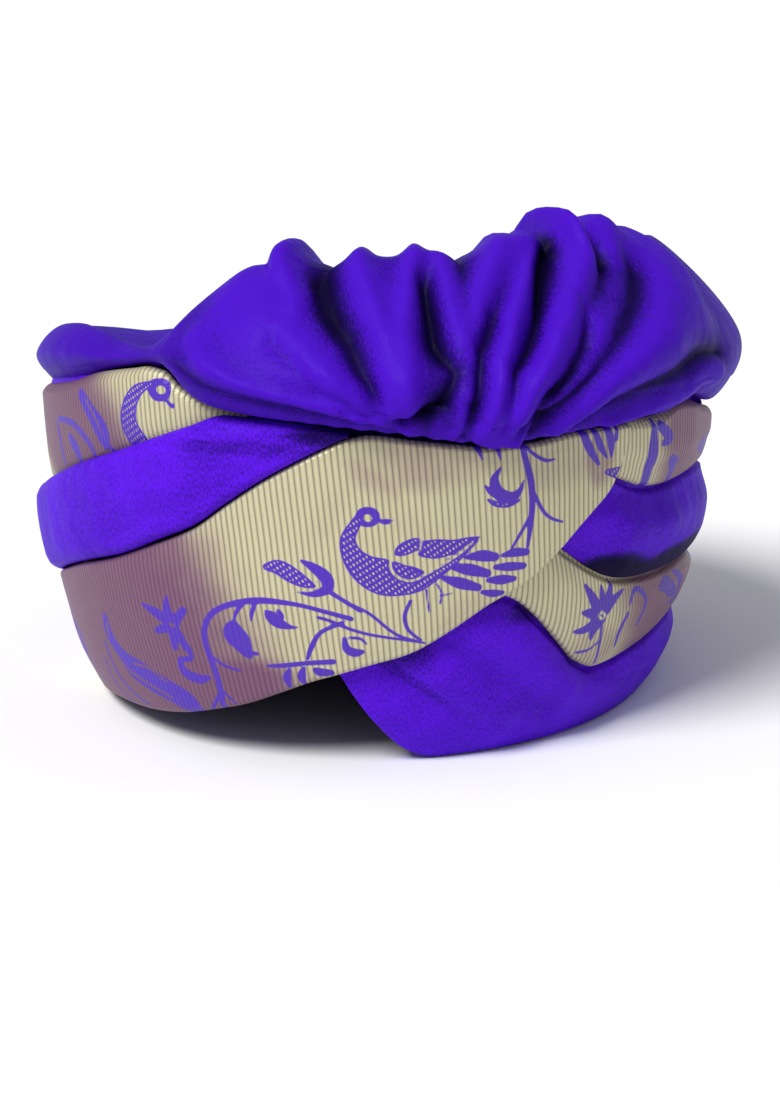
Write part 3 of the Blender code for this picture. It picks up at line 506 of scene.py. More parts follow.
UPPER_FIGURES = (
    (FAN, 107, 119.5, 1.2, 0.95, -0.2, -0.12), (BAR_AND_BUD, 141.5, 112, 1.6, 0.95, -0.3, -0.18),
    (MANGO_LEAF, 200, 101, 1, 0.8, 0, 0), (SPRAY, 245, 98, 0.9, 0.5, 0, 0),
    (MANGO_LEAF, 300, 91, 1, 0.8, 0, 0), (STAR_FLOWER, 345, 86, 0.9, 0.7, 0, 0),
    (PEACOCK, 400, 80, 0.8, 0.7, 0, 0), (MANGO_LEAF, 455, 78, 1, 0.9, 0, 0),
    (STAR_FLOWER, 500, 80, 1, 0.8, 0, 0), (MANGO_LEAF, 545, 78, 1, 0.9, 0, 0),
    (PEACOCK, 610, 78, 0.8, 0.8, 0, 0), (NESTED_LEAF, 742, 111.5, 2.4, 1.05, 0.56, 0.28),
    (NARROW_LEAF, 766.5, 126.5, 1.7, 1, 0.32, 0.16),
    (PEACOCK_HEAD, 797, 137.5, 1.2, 0.9, 0.18, 0.02),
)


def joined_by(share, start, first, end, second):
    """Cubic from start to end whose slopes there are first and second."""
    a = (1 + 2 * share) * (1 - share) ** 2
    b = share * (1 - share) ** 2
    c = share ** 2 * (3 - 2 * share)
    d = share ** 2 * (share - 1)
    return a * start + b * first + c * end + d * second


def cubic(share, before, start, end, after):
    """Smooth curve from start to end, led by the points before and after."""
    return joined_by(share, start, (end - before) / 2, end, (after - start) / 2)


def smooth_rows(rows, places):
    """Each column of a table read at the places in its first: a cubic with no overshoot."""
    table = np.array(rows, float)
    known = table[:, 0]
    values = table[:, 1:]
    step = np.diff(known)[:, None]
    slope = np.diff(values, axis=0) / step
    tangent = np.zeros_like(values)
    joined = np.maximum(slope[:-1] * slope[1:], 0.0)
    total = np.where(joined > 0, slope[:-1] + slope[1:], 1.0)
    tangent[1:-1] = 2.0 * joined / total
    tangent[0] = slope[0]
    tangent[-1] = slope[-1]
    places = np.asarray(places, float)
    where = np.clip(np.searchsorted(known, places, side="right") - 1, 0, len(known) - 2)
    width = step[where]
    share = (places[..., None] - known[where, None]) / width
    return joined_by(share, values[where], width * tangent[where],
                     values[where + 1], width * tangent[where + 1])


def wall_point(angle, out, height):
    """Wall coordinates turned into x, y and z: a step out along the oval's normal."""
    turn = np.radians(angle)
    across = HEAD_HALF_DEPTH * np.sin(turn)
    along = -HEAD_HALF_WIDTH * np.cos(turn)
    length = np.hypot(across, along)
    x = HEAD_HALF_WIDTH * np.sin(turn) + out * across / length
    y = -HEAD_HALF_DEPTH * np.cos(turn) + out * along / length
    return np.stack([x, y, height + 0.0 * x], axis=-1)


def flare_at(height):
    """Distance of the visible cloth out from the head oval, at a height."""
    return smooth_rows(FLARE, np.clip(height, 0, 220))[..., 0]


def wall_length(angle):
    """Length along the wall, at mid height, from the front to an angle."""
    turns = np.arange(-240.0, 361.0, 1.0)
    path = wall_point(turns, MID_OUT, 0.0)
    steps = np.linalg.norm(np.diff(path, axis=0), axis=1)
    run = np.concatenate([[0.0], np.cumsum(steps)])
    return np.interp(angle, turns, run - run[240])


def stepped(first, last, fine, coarse, fine_from, fine_to):
    """Places between two ends, fine steps inside a stretch and coarse ones outside it."""
    marks = sorted({first, last, min(max(fine_from, first), last), min(max(fine_to, first), last)})
    runs = []
    for start, end in zip(marks, marks[1:]):
        step = fine if fine_from <= (start + end) / 2 <= fine_to else coarse
        runs.append(np.linspace(start, end, max(int(round((end - start) / step)), 1) + 1)[:-1])
    return np.concatenate(runs + [[last]])


def line_rise(across, along, lines, per_across, per_along):
    """Sum of folds: each rises by a bell across its line where it is a ridge, or by a narrow
    tent where it is a valley, with width and rise changing evenly from its start to its end."""
    rise = np.zeros(np.broadcast(across, along).shape)
    for width_near, width_far, rise_near, rise_far, points in lines:
        line = np.array(points, float) * (per_across, per_along)
        lengths = np.linalg.norm(np.diff(line, axis=0), axis=1)
        whole = lengths.sum()
        nearest = np.full(rise.shape, 1e9)
        travel = np.zeros(rise.shape)
        gone = 0.0
        for start, end, length in zip(line, line[1:], lengths):
            run = end - start
            share = ((across - start[0]) * run[0] + (along - start[1]) * run[1]) / length ** 2
            share = np.clip(share, 0.0, 1.0)
            gap = np.hypot(across - start[0] - share * run[0], along - start[1] - share * run[1])
            closer = gap < nearest
            nearest = np.where(closer, gap, nearest)
            travel = np.where(closer, (gone + share * length) / whole, travel)
            gone += length
        reach = nearest / (width_near + (width_far - width_near) * travel)
        tent = np.exp(-VALLEY_FALL * np.sqrt(reach ** 2 + VALLEY_ROUND))
        form = np.exp(-reach ** 2) if rise_far > 0 else tent
        rise += (rise_near + (rise_far - rise_near) * travel) * form
    return rise


def patch_sum(across, height, patches):
    """Strength of soft patches at each point of the cloth: full inside each oval, fading
    over its edge, and never more than one."""
    total = np.zeros(across.shape)
    for across_0, height_0, half_across, half_height, lean, strength in patches:
        aside = (across - across_0 - lean * (height - height_0)) / half_across
        apart = (height - height_0) / half_height
        total += strength * np.exp(-(aside ** 2 + apart ** 2) ** 3)
    return np.minimum(total, 1.0)


def stroke_line(points):
    """A chart stroke's points, rounded off by a curve that passes through all of them."""
    line = np.array(points, float)
    led = np.concatenate([2 * line[:1] - line[1:2], line, 2 * line[-1:] - line[-2:-1]])
    share = np.linspace(0, 1, 5)[:-1, None, None]
    curve = cubic(share, led[:-3], led[1:-2], led[2:-1], led[3:])
    return np.concatenate([curve.transpose(1, 0, 2).reshape(-1, 3), line[-1:]])


def weave_figures(across, height, figures):
    """Distance in millimetres from each point of the cloth to the edge of the woven figures,
    negative inside them, and the same for the speckled parts alone."""
    edge = np.full(across.shape, NO_FIGURE)
    speckle = np.full(across.shape, NO_FIGURE)
    for chart, across_0, height_0, wide, tall, lean, slant in figures:
        for ink, *points in chart:
            line = stroke_line(points)
            x = across_0 + (line[:, 0] * wide + line[:, 1] * slant) * SQUARE
            y = height_0 + (line[:, 1] * tall + line[:, 0] * lean) * SQUARE
            half = line[:, 2] * SQUARE * np.sqrt(wide * tall)
            reach = half.max() + STROKE_MARGIN
            near = ((across > x.min() - reach) & (across < x.max() + reach)
                    & (height > y.min() - reach) & (height < y.max() + reach))
            if not near.any():
                continue
            px = across[near][:, None]
            py = height[near][:, None]
            run_x = np.diff(x)
            run_y = np.diff(y)
            length = np.maximum(run_x ** 2 + run_y ** 2, 1e-9)
            share = np.clip(((px - x[:-1]) * run_x + (py - y[:-1]) * run_y) / length, 0, 1)
            gap = np.hypot(px - x[:-1] - share * run_x, py - y[:-1] - share * run_y)
            gap = (gap - half[:-1] - share * np.diff(half)).min(axis=1)
            if ink == GOLD:
                edge[near] = np.maximum(edge[near], -gap)
                speckle[near] = np.maximum(speckle[near], -gap)
            else:
                edge[near] = np.minimum(edge[near], gap)
            if ink == SPECKLED:
                speckle[near] = np.minimum(speckle[near], gap)
    return edge, speckle


# Meshes

def grid_mesh(name, points, cloth, closed_round, closed_section, pole=None):
    """Mesh object through a grid of points, row by section and column by place in the section.

    The grid is joined to itself round the rows, round the columns or both, ends that stay open
    are filled, and a pole closes the last column. cloth gives each corner's place on the cloth
    in millimetres, with one more row or column than the points where the grid is joined.
    """
    rows, columns = points.shape[:2]
    i, k = np.meshgrid(np.arange(rows if closed_round else rows - 1),
                       np.arange(columns if closed_section else columns - 1), indexing="ij")
    i = i.ravel()
    k = k.ravel()
    corner_rows = np.stack([i, i + 1, i + 1, i], axis=1)
    corner_columns = np.stack([k, k, k + 1, k + 1], axis=1)
    quads = (corner_rows % rows) * columns + corner_columns % columns
    marks = cloth[corner_rows, corner_columns].reshape(-1, 2)
    sides = [np.full(len(quads), 4)]
    corners = [quads.ravel()]
    places = points.reshape(-1, 3)
    if pole is not None:
        ring = np.arange(rows)
        last = columns - 1
        tip = np.full(rows, rows * columns)
        fan = np.stack([ring * columns + last, (ring + 1) % rows * columns + last, tip], axis=1)
        fan_marks = np.stack([cloth[ring, last], cloth[ring + 1, last], cloth[ring, last]], axis=1)
        corners.append(fan.ravel())
        sides.append(np.full(rows, 3))
        marks = np.concatenate([marks, fan_marks.reshape(-1, 2)])
        places = np.concatenate([places, [pole]])
    if closed_section and not closed_round:
        first = np.arange(columns)[::-1]
        far = (rows - 1) * columns + np.arange(columns)
        corners += [first, far]
        sides += [np.array([columns]), np.array([columns])]
        marks = np.concatenate([marks, cloth[0, first], cloth[-1, :columns]])
    corners = np.concatenate(corners)
    sides = np.concatenate(sides)
    mesh = bpy.data.meshes.new(name)
    mesh.vertices.add(len(places))
    mesh.vertices.foreach_set("co", (places * MM).ravel())
    mesh.loops.add(len(corners))
    mesh.loops.foreach_set("vertex_index", corners)
    mesh.polygons.add(len(sides))
    mesh.polygons.foreach_set("loop_start", np.concatenate([[0], np.cumsum(sides)[:-1]]))
    mesh.polygons.foreach_set("loop_total", sides)
    mesh.polygons.foreach_set("use_smooth", np.ones(len(sides), bool))
    mesh.update(calc_edges=True)
    layer = mesh.uv_layers.new(name="Cloth")
    layer.data.foreach_set("uv", (marks * MM).ravel())
    mesh.validate()
    thing = bpy.data.objects.new(name, mesh)
    bpy.context.scene.collection.objects.link(thing)
    return thing


def give_numbers(thing, name, values):
    """Store one number for each vertex under a name that the material reads."""
    layer = thing.data.attributes.new(name, "FLOAT", "POINT")
    layer.data.foreach_set("value", np.asarray(values, np.float32).ravel())


def finish_piece(thing, material, node):
    """The piece wears its cloth, moves with the turban and stands for its solid."""
    thing.data.materials.append(material)
    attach(thing, "root")
    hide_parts(node)


def wrap_grid(rows, profile, low_lap, high_lap, angles, steps):
    """Closed sections of a wrap: up the inside and down the outside, with rounded edges.

    The height runs from the table's bottom to its top in steps that are close together at the
    edges. Both faces lie at the profile's distances from the flare, and within an edge's radius
    the outer face draws in by a quarter circle.
    """
    bottom, top, bulge = smooth_rows(rows, angles).T
    room = np.maximum(top - bottom, 0.1)
    low = np.minimum(low_lap, room * 0.6)[:, None]
    high = np.minimum(high_lap, room * 0.35)[:, None]
    even = np.linspace(0, 1, steps)
    share = even - EDGE_CROWDING * np.sin(2 * np.pi * even) / (2 * np.pi)
    above = room[:, None] * share
    below = room[:, None] - above
    middle = np.maximum(room[:, None] - low - high, 0.05)
    level = np.where(above < low, above / low,
                     np.where(below > high, 1 + (above - low) / middle, 3 - below / high))
    height = bottom[:, None] + above
    inner, outer, swell = np.moveaxis(smooth_rows(profile, level), -1, 0)
    base = flare_at(height)
    inset = 1 - np.clip(np.minimum(above, below) / EDGE_RADIUS, 0, 1)
    round_edge = np.sqrt(np.clip(1 - inset ** 2, 0.02, 1))
    full = EDGE_FULLNESS + (1 - EDGE_FULLNESS) * round_edge
    face = inner + (outer + bulge[:, None] * swell - inner) * full
    return height, level, base + inner, base + face


def wrap_angles(first, last, fine):
    """Angles along a wrap: fine steps on the front half and coarse ones round the back. A wrap
    that goes on past the back ends on the front's left side, 360 degrees further on."""
    coarse = fine * COARSER
    if last <= 200:
        return stepped(first, last, fine, coarse, *FRONT_HALF)
    start = stepped(first, 100, fine, fine, first, 100)[:-1] if first < 100 else []
    return np.concatenate([start, stepped(max(first, 100), last, fine, coarse, *FRONT_AGAIN)])


def wrap_piece(name, rows, profile, low_lap, high_lap, steps, fine, folds=()):
    """A wrap as a mesh object with folds in its outer face, and the place on the cloth, across
    and up, of each of its vertices."""
    angles = wrap_angles(rows[0][0], rows[-1][0], fine)
    height, level, inner, outer = wrap_grid(rows, profile, low_lap, high_lap, angles, steps)
    across = wall_length(angles)[:, None] + 0 * height
    fade = np.clip(np.minimum(level, 3 - level) * 4, 0, 1)
    outer = outer + fade * line_rise(across, height, folds, 1, 1)
    picks = np.linspace(0, steps - 1, INSIDE_STEPS).astype(int)
    inside = wall_point(angles[:, None], inner[:, picks], height[:, picks])
    outside = wall_point(angles[:, None], outer, height)
    points = np.concatenate([inside, outside[:, ::-1]], axis=1)
    marks = np.stack([across, height], axis=-1)
    cloth = np.concatenate([marks[:, picks], marks[:, ::-1], marks[:, picks[:1]]], axis=1)
    thing = grid_mesh(name, points, cloth, False, True)
    grid_across = np.concatenate([across[:, picks], across[:, ::-1]], axis=1)
    grid_height = np.concatenate([height[:, picks], height[:, ::-1]], axis=1)
    return thing, grid_across, grid_height


def core_piece():
    """The innermost turns: a closed ring from the hollow's wall out to the core's face."""
    angles = np.arange(-180.0, 180.0, 1.5)
    bottom, top = smooth_rows(CORE_ROWS, angles).T
    share = np.linspace(0, 1, 40)
    height = bottom[:, None] + (top - bottom)[:, None] * share
    hollow = smooth_rows(HOLLOW, height)[..., 0]
    across = wall_length(angles)[:, None] + 0 * height
    inside = wall_point(angles[:, None], hollow, height)
    outside = wall_point(angles[:, None], flare_at(height) + CORE_OUT, height)
    points = np.concatenate([inside, outside[:, ::-1]], axis=1)
    marks = np.stack([across, height], axis=-1)
    cloth = np.concatenate([marks, marks[:, ::-1], marks[:, :1]], axis=1)
    closing = cloth[:1] + (wall_length(180) - wall_length(-180), 0)
    return grid_mesh("inner_turns", points, np.concatenate([cloth, closing]), True, True)


def eased(values, reach, where):
    """Values averaged along their rows with a bell of that many places, where asked."""
    bell = np.exp(-(np.arange(-2 * reach, 2 * reach + 1) / reach) ** 2)
    padded = np.pad(values, ((0, 0), (2 * reach, 2 * reach)), mode="reflect",
                    reflect_type="odd")
    windows = np.lib.stride_tricks.sliding_window_view(padded, len(bell), axis=1)
    return np.where(where, windows @ (bell / bell.sum()), values)


def puff_base(angles, stations):
    """The puff without its folds: one smooth curve for each angle, from tuck to pole.

    Stations run from the tuck (0) by the lip (1), belly (2) and crest (3) to the pole (4). Up
    to the crest the curve goes through the table's points. Past it, a straight line in plan
    runs to the pole and the height changes by a smooth step.
    """
    waist, lip, drop, belly, belly_z, crest, crest_z = smooth_rows(PUFF_ROWS, angles).T
    flare = np.interp(waist, [pair[0] for pair in FLARE], [pair[1] for pair in FLARE])
    roll = np.clip((lip + 2) / 6, 0, 1)
    tuck = lip - LIP_DEPTH
    outs = np.stack([flare + np.minimum(tuck, -TUCK_REACH), flare + tuck - ROLL_BACK * roll,
                     flare + lip - ROLL_IN * roll, belly, crest, crest - LEAD_IN], axis=1)
    heights = np.stack([waist + TUCK_UP, waist + TUCK_UP, waist - drop + ROLL_UP * roll, belly_z,
                        crest_z, crest_z - LEAD_DOWN], axis=1)
    places = np.array((0.0, 0.5, 1.0, 2.0, 3.0, 4.0))
    k = np.clip(np.searchsorted(places, stations, side="right") - 1, 0, 3)
    share = np.clip((stations - places[k]) / (places[k + 1] - places[k]), 0, 1)
    before = np.maximum(k - 1, 0)
    out = cubic(share, outs[:, before], outs[:, k], outs[:, k + 1], outs[:, k + 2])
    height = cubic(share, heights[:, before], heights[:, k], heights[:, k + 1],
                   heights[:, k + 2])
    out = eased(out, LIP_EASE, stations < LIP_PART)
    height = eased(height, LIP_EASE, stations < LIP_PART)
    side = wall_point(angles[:, None], out, height)
    beyond = np.clip(stations - 3.0, 0, 1)[None, :, None]
    edge = wall_point(angles, crest, crest_z)[:, None, :]
    pole = np.array(CROWN_POLE)
    crown = edge + (pole - edge) * beyond
    rise = beyond[..., 0] ** 2 * (3 - 2 * beyond[..., 0])
    crown[..., 2] = crest_z[:, None] + (pole[2] - crest_z[:, None]) * rise
    return np.where(beyond > 0, crown, side)


def grid_normals(points):
    """Outward direction at each point of a grid that is closed across its rows."""
    round_it = np.roll(points, -1, axis=0) - np.roll(points, 1, axis=0)
    up_it = np.gradient(points, axis=1)
    normal = np.cross(round_it, up_it)
    return normal / np.linalg.norm(normal, axis=-1, keepdims=True)


def puff_piece(thickness):
    """Gathered puff and crown: one sheet from the knot at the front over the top of the head."""
    front = np.arange(*PUFF_FRONT, PUFF_FINE)
    back = np.arange(PUFF_FRONT[1], PUFF_END, PUFF_COARSE)
    run = np.concatenate([front, back, [PUFF_END]])
    angles = (run[:-1] + 180.0) % 360.0 - 180.0
    stations = np.concatenate([np.linspace(0, 3.0, 76), np.linspace(3.04, LAST_RING, 18)])
    base = puff_base(angles, stations)
    across = angles[:, None] * MM_PER_DEGREE
    along = stations[None, :] * MM_PER_STATION
    fade = np.clip((LAST_RING - stations) / FOLD_FADE, 0.0, 1.0)[None, :] ** 2
    rise = line_rise(across, along, PUFF_FOLDS, MM_PER_DEGREE, MM_PER_STATION) * fade
    dip = line_rise(across, along, CROWN_DIP, MM_PER_DEGREE, MM_PER_STATION) * fade
    gathered = np.exp(-((angles - KNOT_ANGLE) / KNOT_WIDTH) ** 2)[:, None]
    pleats = np.sin(2 * np.pi * angles / PLEAT_ANGLE)[:, None]
    rise += PLEAT_RISE * pleats * gathered * np.exp(-np.abs(stations - PLEAT_STATION) / PLEAT_REACH)
    points = base + grid_normals(base) * (rise - dip)[..., None]
    marks = np.stack(np.broadcast_arrays(run[:, None] * MM_PER_DEGREE, along), axis=-1)
    thing = grid_mesh("gathered_puff", points, marks, True, False, CROWN_POLE)
    # Painted shade in the folds and painted highlight on the ridges: how far each point lies below
    # or above the eased level around it
    level = eased(eased(rise, LEVEL_ALONG, True).T, LEVEL_ROUND, True).T
    painted_shade_and_highlight = (LEVEL_SHARE * level - rise) / DARK_DEPTH
    give_numbers(thing, "painted_shade_and_highlight", np.append(np.clip(painted_shade_and_highlight, -0.6, 1.3), 0.0))
    wall = thing.modifiers.new("Cloth", "SOLIDIFY")
    wall.thickness = thickness
    wall.offset = -1.0
    return thing


# Materials

# Satin, as noise scales per metre: slubs about 26 mm long, ripples 10 mm, grain 0.7 mm, with the
# grain drawn out along the warp
SLUB_SCALE = 38.0
RIPPLE_SCALE = 95.0
GRAIN_SCALE = 1500.0
GRAIN_STRETCH = (1.0, 0.5, 1.0)
RIPPLE_HEIGHT = 0.0022
GRAIN_HEIGHT = 0.0003
# Brocade, in metres: weft threads, dashes of the speckled figures across and up, relief
WEFT_STEP = 0.0011
DASH_WIDTH = 0.0022
DASH_HEIGHT = 0.0026
CORD_HEIGHT = 0.0004
# Slant of the cords, how round they are, size of the clouds in the mauve and of the thread's grain
CORD_SLANT = 0.09
CORD_ROUNDNESS = 0.55
CLOUD_SCALE = 60.0
THREAD_SCALE = 1300.0


def linear(hex_colour):
    """An sRGB hex colour as linear red, green and blue."""
    parts = [int(hex_colour[i:i + 2], 16) / 255 for i in (0, 2, 4)]
    return tuple(p / 12.92 if p <= 0.04045 else ((p + 0.055) / 1.055) ** 2.4 for p in parts)


def add(tree, kind, inputs=(), **settings):
    """A node of that kind, its settings set and its inputs given values or other outputs."""
    made = tree.nodes.new("ShaderNode" + kind)
    for key, value in settings.items():
        setattr(made, key, value)
    for key, value in dict(inputs).items():
        if isinstance(value, bpy.types.NodeSocket):
            tree.links.new(value, made.inputs[key])
        else:
            made.inputs[key].default_value = value
    return made


def math(tree, operation, first, second=0.0, third=0.0):
    """The number that one step of arithmetic gives."""
    return add(tree, "Math", {0: first, 1: second, 2: third}, operation=operation).outputs[0]


def band_step(tree, value, low, high):
    """0 below low and 1 above high, with a smooth step between."""
    return add(tree, "MapRange", {"Value": value, "From Min": low, "From Max": high},
               interpolation_type="SMOOTHSTEP").outputs[0]


def mixed(tree, share, first, second):
    """Two colours mixed by a share."""
    node = add(tree, "Mix", {0: share}, data_type="RGBA")
    for key, value in ((6, first), (7, second)):
        if isinstance(value, bpy.types.NodeSocket):
            tree.links.new(value, node.inputs[key])
        else:
            node.inputs[key].default_value = (*value, 1.0)
    return node.outputs[2]


def empty_material(name):
    """A new material with its node tree and its Principled shader."""
    material = bpy.data.materials.new(name)
    material.use_nodes = True
    return material, material.node_tree, material.node_tree.nodes["Principled BSDF"]


def violet_satin(name, lit, shade, roughness):
    """Dyed art-silk satin crepe: fine twisted warp over a soft weft. The eye gets a saturated
    violet with a grainy, half-dull sheen, darker in slubs. Painted shade darkens it in the folds
    and shadowed places, down to near black in the deepest pockets, and a painted highlight
    lightens the puff's ridges."""
    material, tree, shader = empty_material(name)
    place = add(tree, "TexCoord").outputs["Object"]
    uv = add(tree, "UVMap", uv_map="Cloth").outputs[0]
    threads = add(tree, "Mapping", {0: uv, 3: GRAIN_STRETCH}).outputs[0]
    slubs = add(tree, "TexNoise", {"Vector": place, "Scale": SLUB_SCALE, "Detail": 3.0}).outputs[0]
    grain = add(tree, "TexNoise", {"Vector": threads, "Scale": GRAIN_SCALE, "Detail": 1.0})
    grain = grain.outputs[0]
    ripple = add(tree, "TexNoise", {"Vector": place, "Scale": RIPPLE_SCALE, "Detail": 1.5})
    # Painted shade above zero and painted highlight below zero, from the piece's numbers
    painted_shade_and_highlight = add(tree, "Attribute", attribute_name="painted_shade_and_highlight").outputs["Fac"]
    # Tone from the grain and slubs, with the painted shade and highlight added to it
    tone = math(tree, "MULTIPLY", grain, 0.65)
    tone = math(tree, "ADD", math(tree, "MULTIPLY", slubs, 0.35), tone)
    tone = math(tree, "MULTIPLY_ADD", painted_shade_and_highlight, -0.6, tone)
    tone = band_step(tree, tone, 0.12, 0.68)
    colour = mixed(tree, tone, shade, lit)
    # Painted shade: near black in the deepest folds and pockets
    colour = mixed(tree, band_step(tree, painted_shade_and_highlight, 0.2, 1.0), colour, linear("0a0328"))
    tree.links.new(colour, shader.inputs["Base Color"])
    soft = add(tree, "Bump", {"Height": ripple.outputs[0], "Strength": 0.6,
                              "Distance": RIPPLE_HEIGHT})
    bump = add(tree, "Bump", {"Height": grain, "Strength": 0.6, "Distance": GRAIN_HEIGHT,
                              "Normal": soft.outputs[0]})
    tree.links.new(bump.outputs[0], shader.inputs["Normal"])
    for key, value in (("Roughness", roughness), ("Specular IOR Level", 0.04),
                       ("Sheen Weight", 0.04), ("Sheen Roughness", 0.5),
                       ("Sheen Tint", (*linear("5a10ff"), 1.0))):
        shader.inputs[key].default_value = value
    return material


def gold_brocade(name, gold, shade, mauve_painted_shade, violet, rib):
    """Gold brocade border: flat metallic thread laid over violet warp in round cords, with
    figures left in violet. The eye gets cream-gold ribs with dark gaps and matt violet figures,
    with painted shade that turns the gold mauve-brown in soft clouds where the piece's numbers say."""
    material, tree, shader = empty_material(name)
    uv = add(tree, "UVMap", uv_map="Cloth").outputs[0]
    parts = add(tree, "SeparateXYZ", {0: uv})
    lean = math(tree, "MULTIPLY_ADD", parts.outputs[1], CORD_SLANT, parts.outputs[0])
    turn = math(tree, "MULTIPLY", lean, 2 * np.pi / rib)
    cord = math(tree, "ABSOLUTE", math(tree, "SINE", math(tree, "MULTIPLY", turn, 0.5)))
    cord = math(tree, "POWER", cord, CORD_ROUNDNESS)
    weft = math(tree, "SINE", math(tree, "MULTIPLY", parts.outputs[1], 2 * np.pi / WEFT_STEP))
    figure = add(tree, "Attribute", attribute_name="figure").outputs["Fac"]
    in_figure = band_step(tree, figure, 0.25, -0.25)
    spotted = add(tree, "Attribute", attribute_name="speckle").outputs["Fac"]
    dash_u = math(tree, "SINE", math(tree, "MULTIPLY", parts.outputs[0], 2 * np.pi / DASH_WIDTH))
    slide = math(tree, "MULTIPLY_ADD", parts.outputs[0], 0.5, parts.outputs[1])
    dash_v = math(tree, "SINE", math(tree, "MULTIPLY", slide, 2 * np.pi / DASH_HEIGHT))
    dash = band_step(tree, math(tree, "MULTIPLY", dash_u, dash_v), 0.3, 0.6)
    dash = math(tree, "MULTIPLY", dash, band_step(tree, spotted, -0.5, -0.9))
    in_figure = math(tree, "MULTIPLY_ADD", dash, math(tree, "MULTIPLY", in_figure, -0.8), in_figure)
    place = add(tree, "TexCoord").outputs["Object"]
    grain = add(tree, "TexNoise", {"Vector": place, "Scale": THREAD_SCALE, "Detail": 1.0})
    # Painted shade: share of mauve laid over the gold thread, from the piece's patches and clouds
    turned = add(tree, "Attribute", attribute_name="mauve_painted_shade").outputs["Fac"]
    cloud = add(tree, "TexNoise", {"Vector": place, "Scale": CLOUD_SCALE, "Detail": 2.0})
    cloud = math(tree, "SUBTRACT", cloud.outputs[0], 0.5)
    turned = math(tree, "MULTIPLY_ADD", cloud, 0.35, turned)
    thread = mixed(tree, band_step(tree, turned, 0.0, 1.0), gold, mauve_painted_shade)
    gap = mixed(tree, 0.8, thread, shade)
    ground = mixed(tree, cord, gap, thread)
    colour = mixed(tree, in_figure, ground, violet)
    tree.links.new(colour, shader.inputs["Base Color"])
    metal = math(tree, "MULTIPLY", math(tree, "SUBTRACT", 1.0, in_figure), 0.3)
    tree.links.new(metal, shader.inputs["Metallic"])
    relief = math(tree, "MULTIPLY_ADD", weft, 0.08, cord)
    relief = math(tree, "MULTIPLY_ADD", grain.outputs[0], 0.25, relief)
    relief = math(tree, "MULTIPLY_ADD", in_figure, -0.5, relief)
    bump = add(tree, "Bump", {"Height": relief, "Strength": 0.6, "Distance": CORD_HEIGHT})
    tree.links.new(bump.outputs[0], shader.inputs["Normal"])
    shader.inputs["Roughness"].default_value = 0.48
    return material


def plain_floor(name, colour):
    """Matt paper sweep: pale and even, so that it only gives the turban something to stand on."""
    material, tree, shader = empty_material(name)
    shader.inputs["Base Color"].default_value = (*colour, 1.0)
    shader.inputs["Roughness"].default_value = 0.9
    return material


# Settings, operators and panel

def length_setting(name, description, metres):
    """A length that the panel shows, with the value that it begins with."""
    return FloatProperty(name=name, description=description, default=metres, unit="LENGTH",
                         subtype="DISTANCE")


def colour_setting(name, description, hex_colour):
    """A colour that the panel shows, with the value that it begins with."""
    return FloatVectorProperty(name=name, description=description, default=linear(hex_colour),
                               subtype="COLOR", size=3, min=0, max=1)


class TurbanSettings(bpy.types.PropertyGroup):
    """Sizes and colours that a user would change."""
    puff_cloth: length_setting("Puff cloth", "Thickness of the gathered cloth", 0.0025)
    rib: length_setting("Rib", "Distance between the brocade's cords", 0.0022)
    violet: colour_setting("Violet", "Satin where the light falls on it", "5a16da")
    # Painted shade: the puff wears a darker copy of the wraps' satin
    violet_puff_shaded: colour_setting(
        "Violet of the puff", "The same satin, gathered and loose", "430fb0")
    # The satin's darker threads, and also the colour that its painted shade leans towards
    violet_shade: colour_setting("Violet, dark threads", "Satin's darker threads", "1f0660")
    gold: colour_setting("Gold", "Metallic thread of the brocade", "c9c19c")
    gold_shade: colour_setting("Gold, gaps", "Warp that shows between the cords", "3c2c30")
    # Colour of the brocade's painted shade
    mauve_painted_shade: colour_setting(
        "Mauve", "Brocade where its violet warp shows through the gold", "7a4f6e")
    figure: colour_setting("Figures", "Violet of the woven figures", "4418a8")
    floor: colour_setting("Floor", "Pale sweep under the turban", "f4f4f4")


def settings():
    """The scene's own copy of the settings."""
    return bpy.context.scene.turban_settings


class TURBAN_OT_inner_turns(bpy.types.Operator):
    """Build the innermost turns that the other wraps lie on"""
    bl_idname = "turban.inner_turns"
    bl_label = "Inner turns"

    def execute(self, context):
        own = settings()
        # Painted shade: the inner turns wear a darker copy of the satin, as they lie under the
        # other wraps
        cloth = violet_satin("Violet satin, inner", own.violet_shade, linear("2a0d70"), 0.6)
        piece = core_piece()
        finish_piece(piece, cloth, "inner_wrap")
        return {"FINISHED"}


class TURBAN_OT_satin_wraps(bpy.types.Operator):
    """Build the plain violet wraps round the head"""
    bl_idname = "turban.satin_wraps"
    bl_label = "Satin wraps"

    def execute(self, context):
        own = settings()
        cloth = violet_satin("Violet satin, wraps", own.violet, own.violet_shade, 0.5)
        wraps = (
            ("rim_turn", "rim_wrap", RIM_ROWS, UNDER_PROFILE, 10, 12, 60, RIM_FOLDS, RIM_SHADES),
            ("side_fold_turn", "side_fold", FOLD_ROWS, MIDDLE_PROFILE, 10, 11, 60,
             SIDE_FOLDS, SIDE_SHADES),
            ("top_turn", "top_wrap", TOP_WRAP_ROWS, TOP_PROFILE, 11, 6, 50, (), ()),
            ("plain_front_band", "front_band_plain", BAND_PLAIN_ROWS, PLAIN_BAND_PROFILE, 6, 6, 60,
             PLAIN_BAND_FOLDS, BAND_SHADES),
        )
        for name, node, rows, profile, low, high, steps, folds, shades in wraps:
            piece, across, height = wrap_piece(name, rows, profile, low, high, steps, 0.5, folds)
            # Painted shade where the satin lies in its own shadow
            give_numbers(piece, "painted_shade_and_highlight", patch_sum(across, height, shades))
            finish_piece(piece, cloth, node)
        return {"FINISHED"}


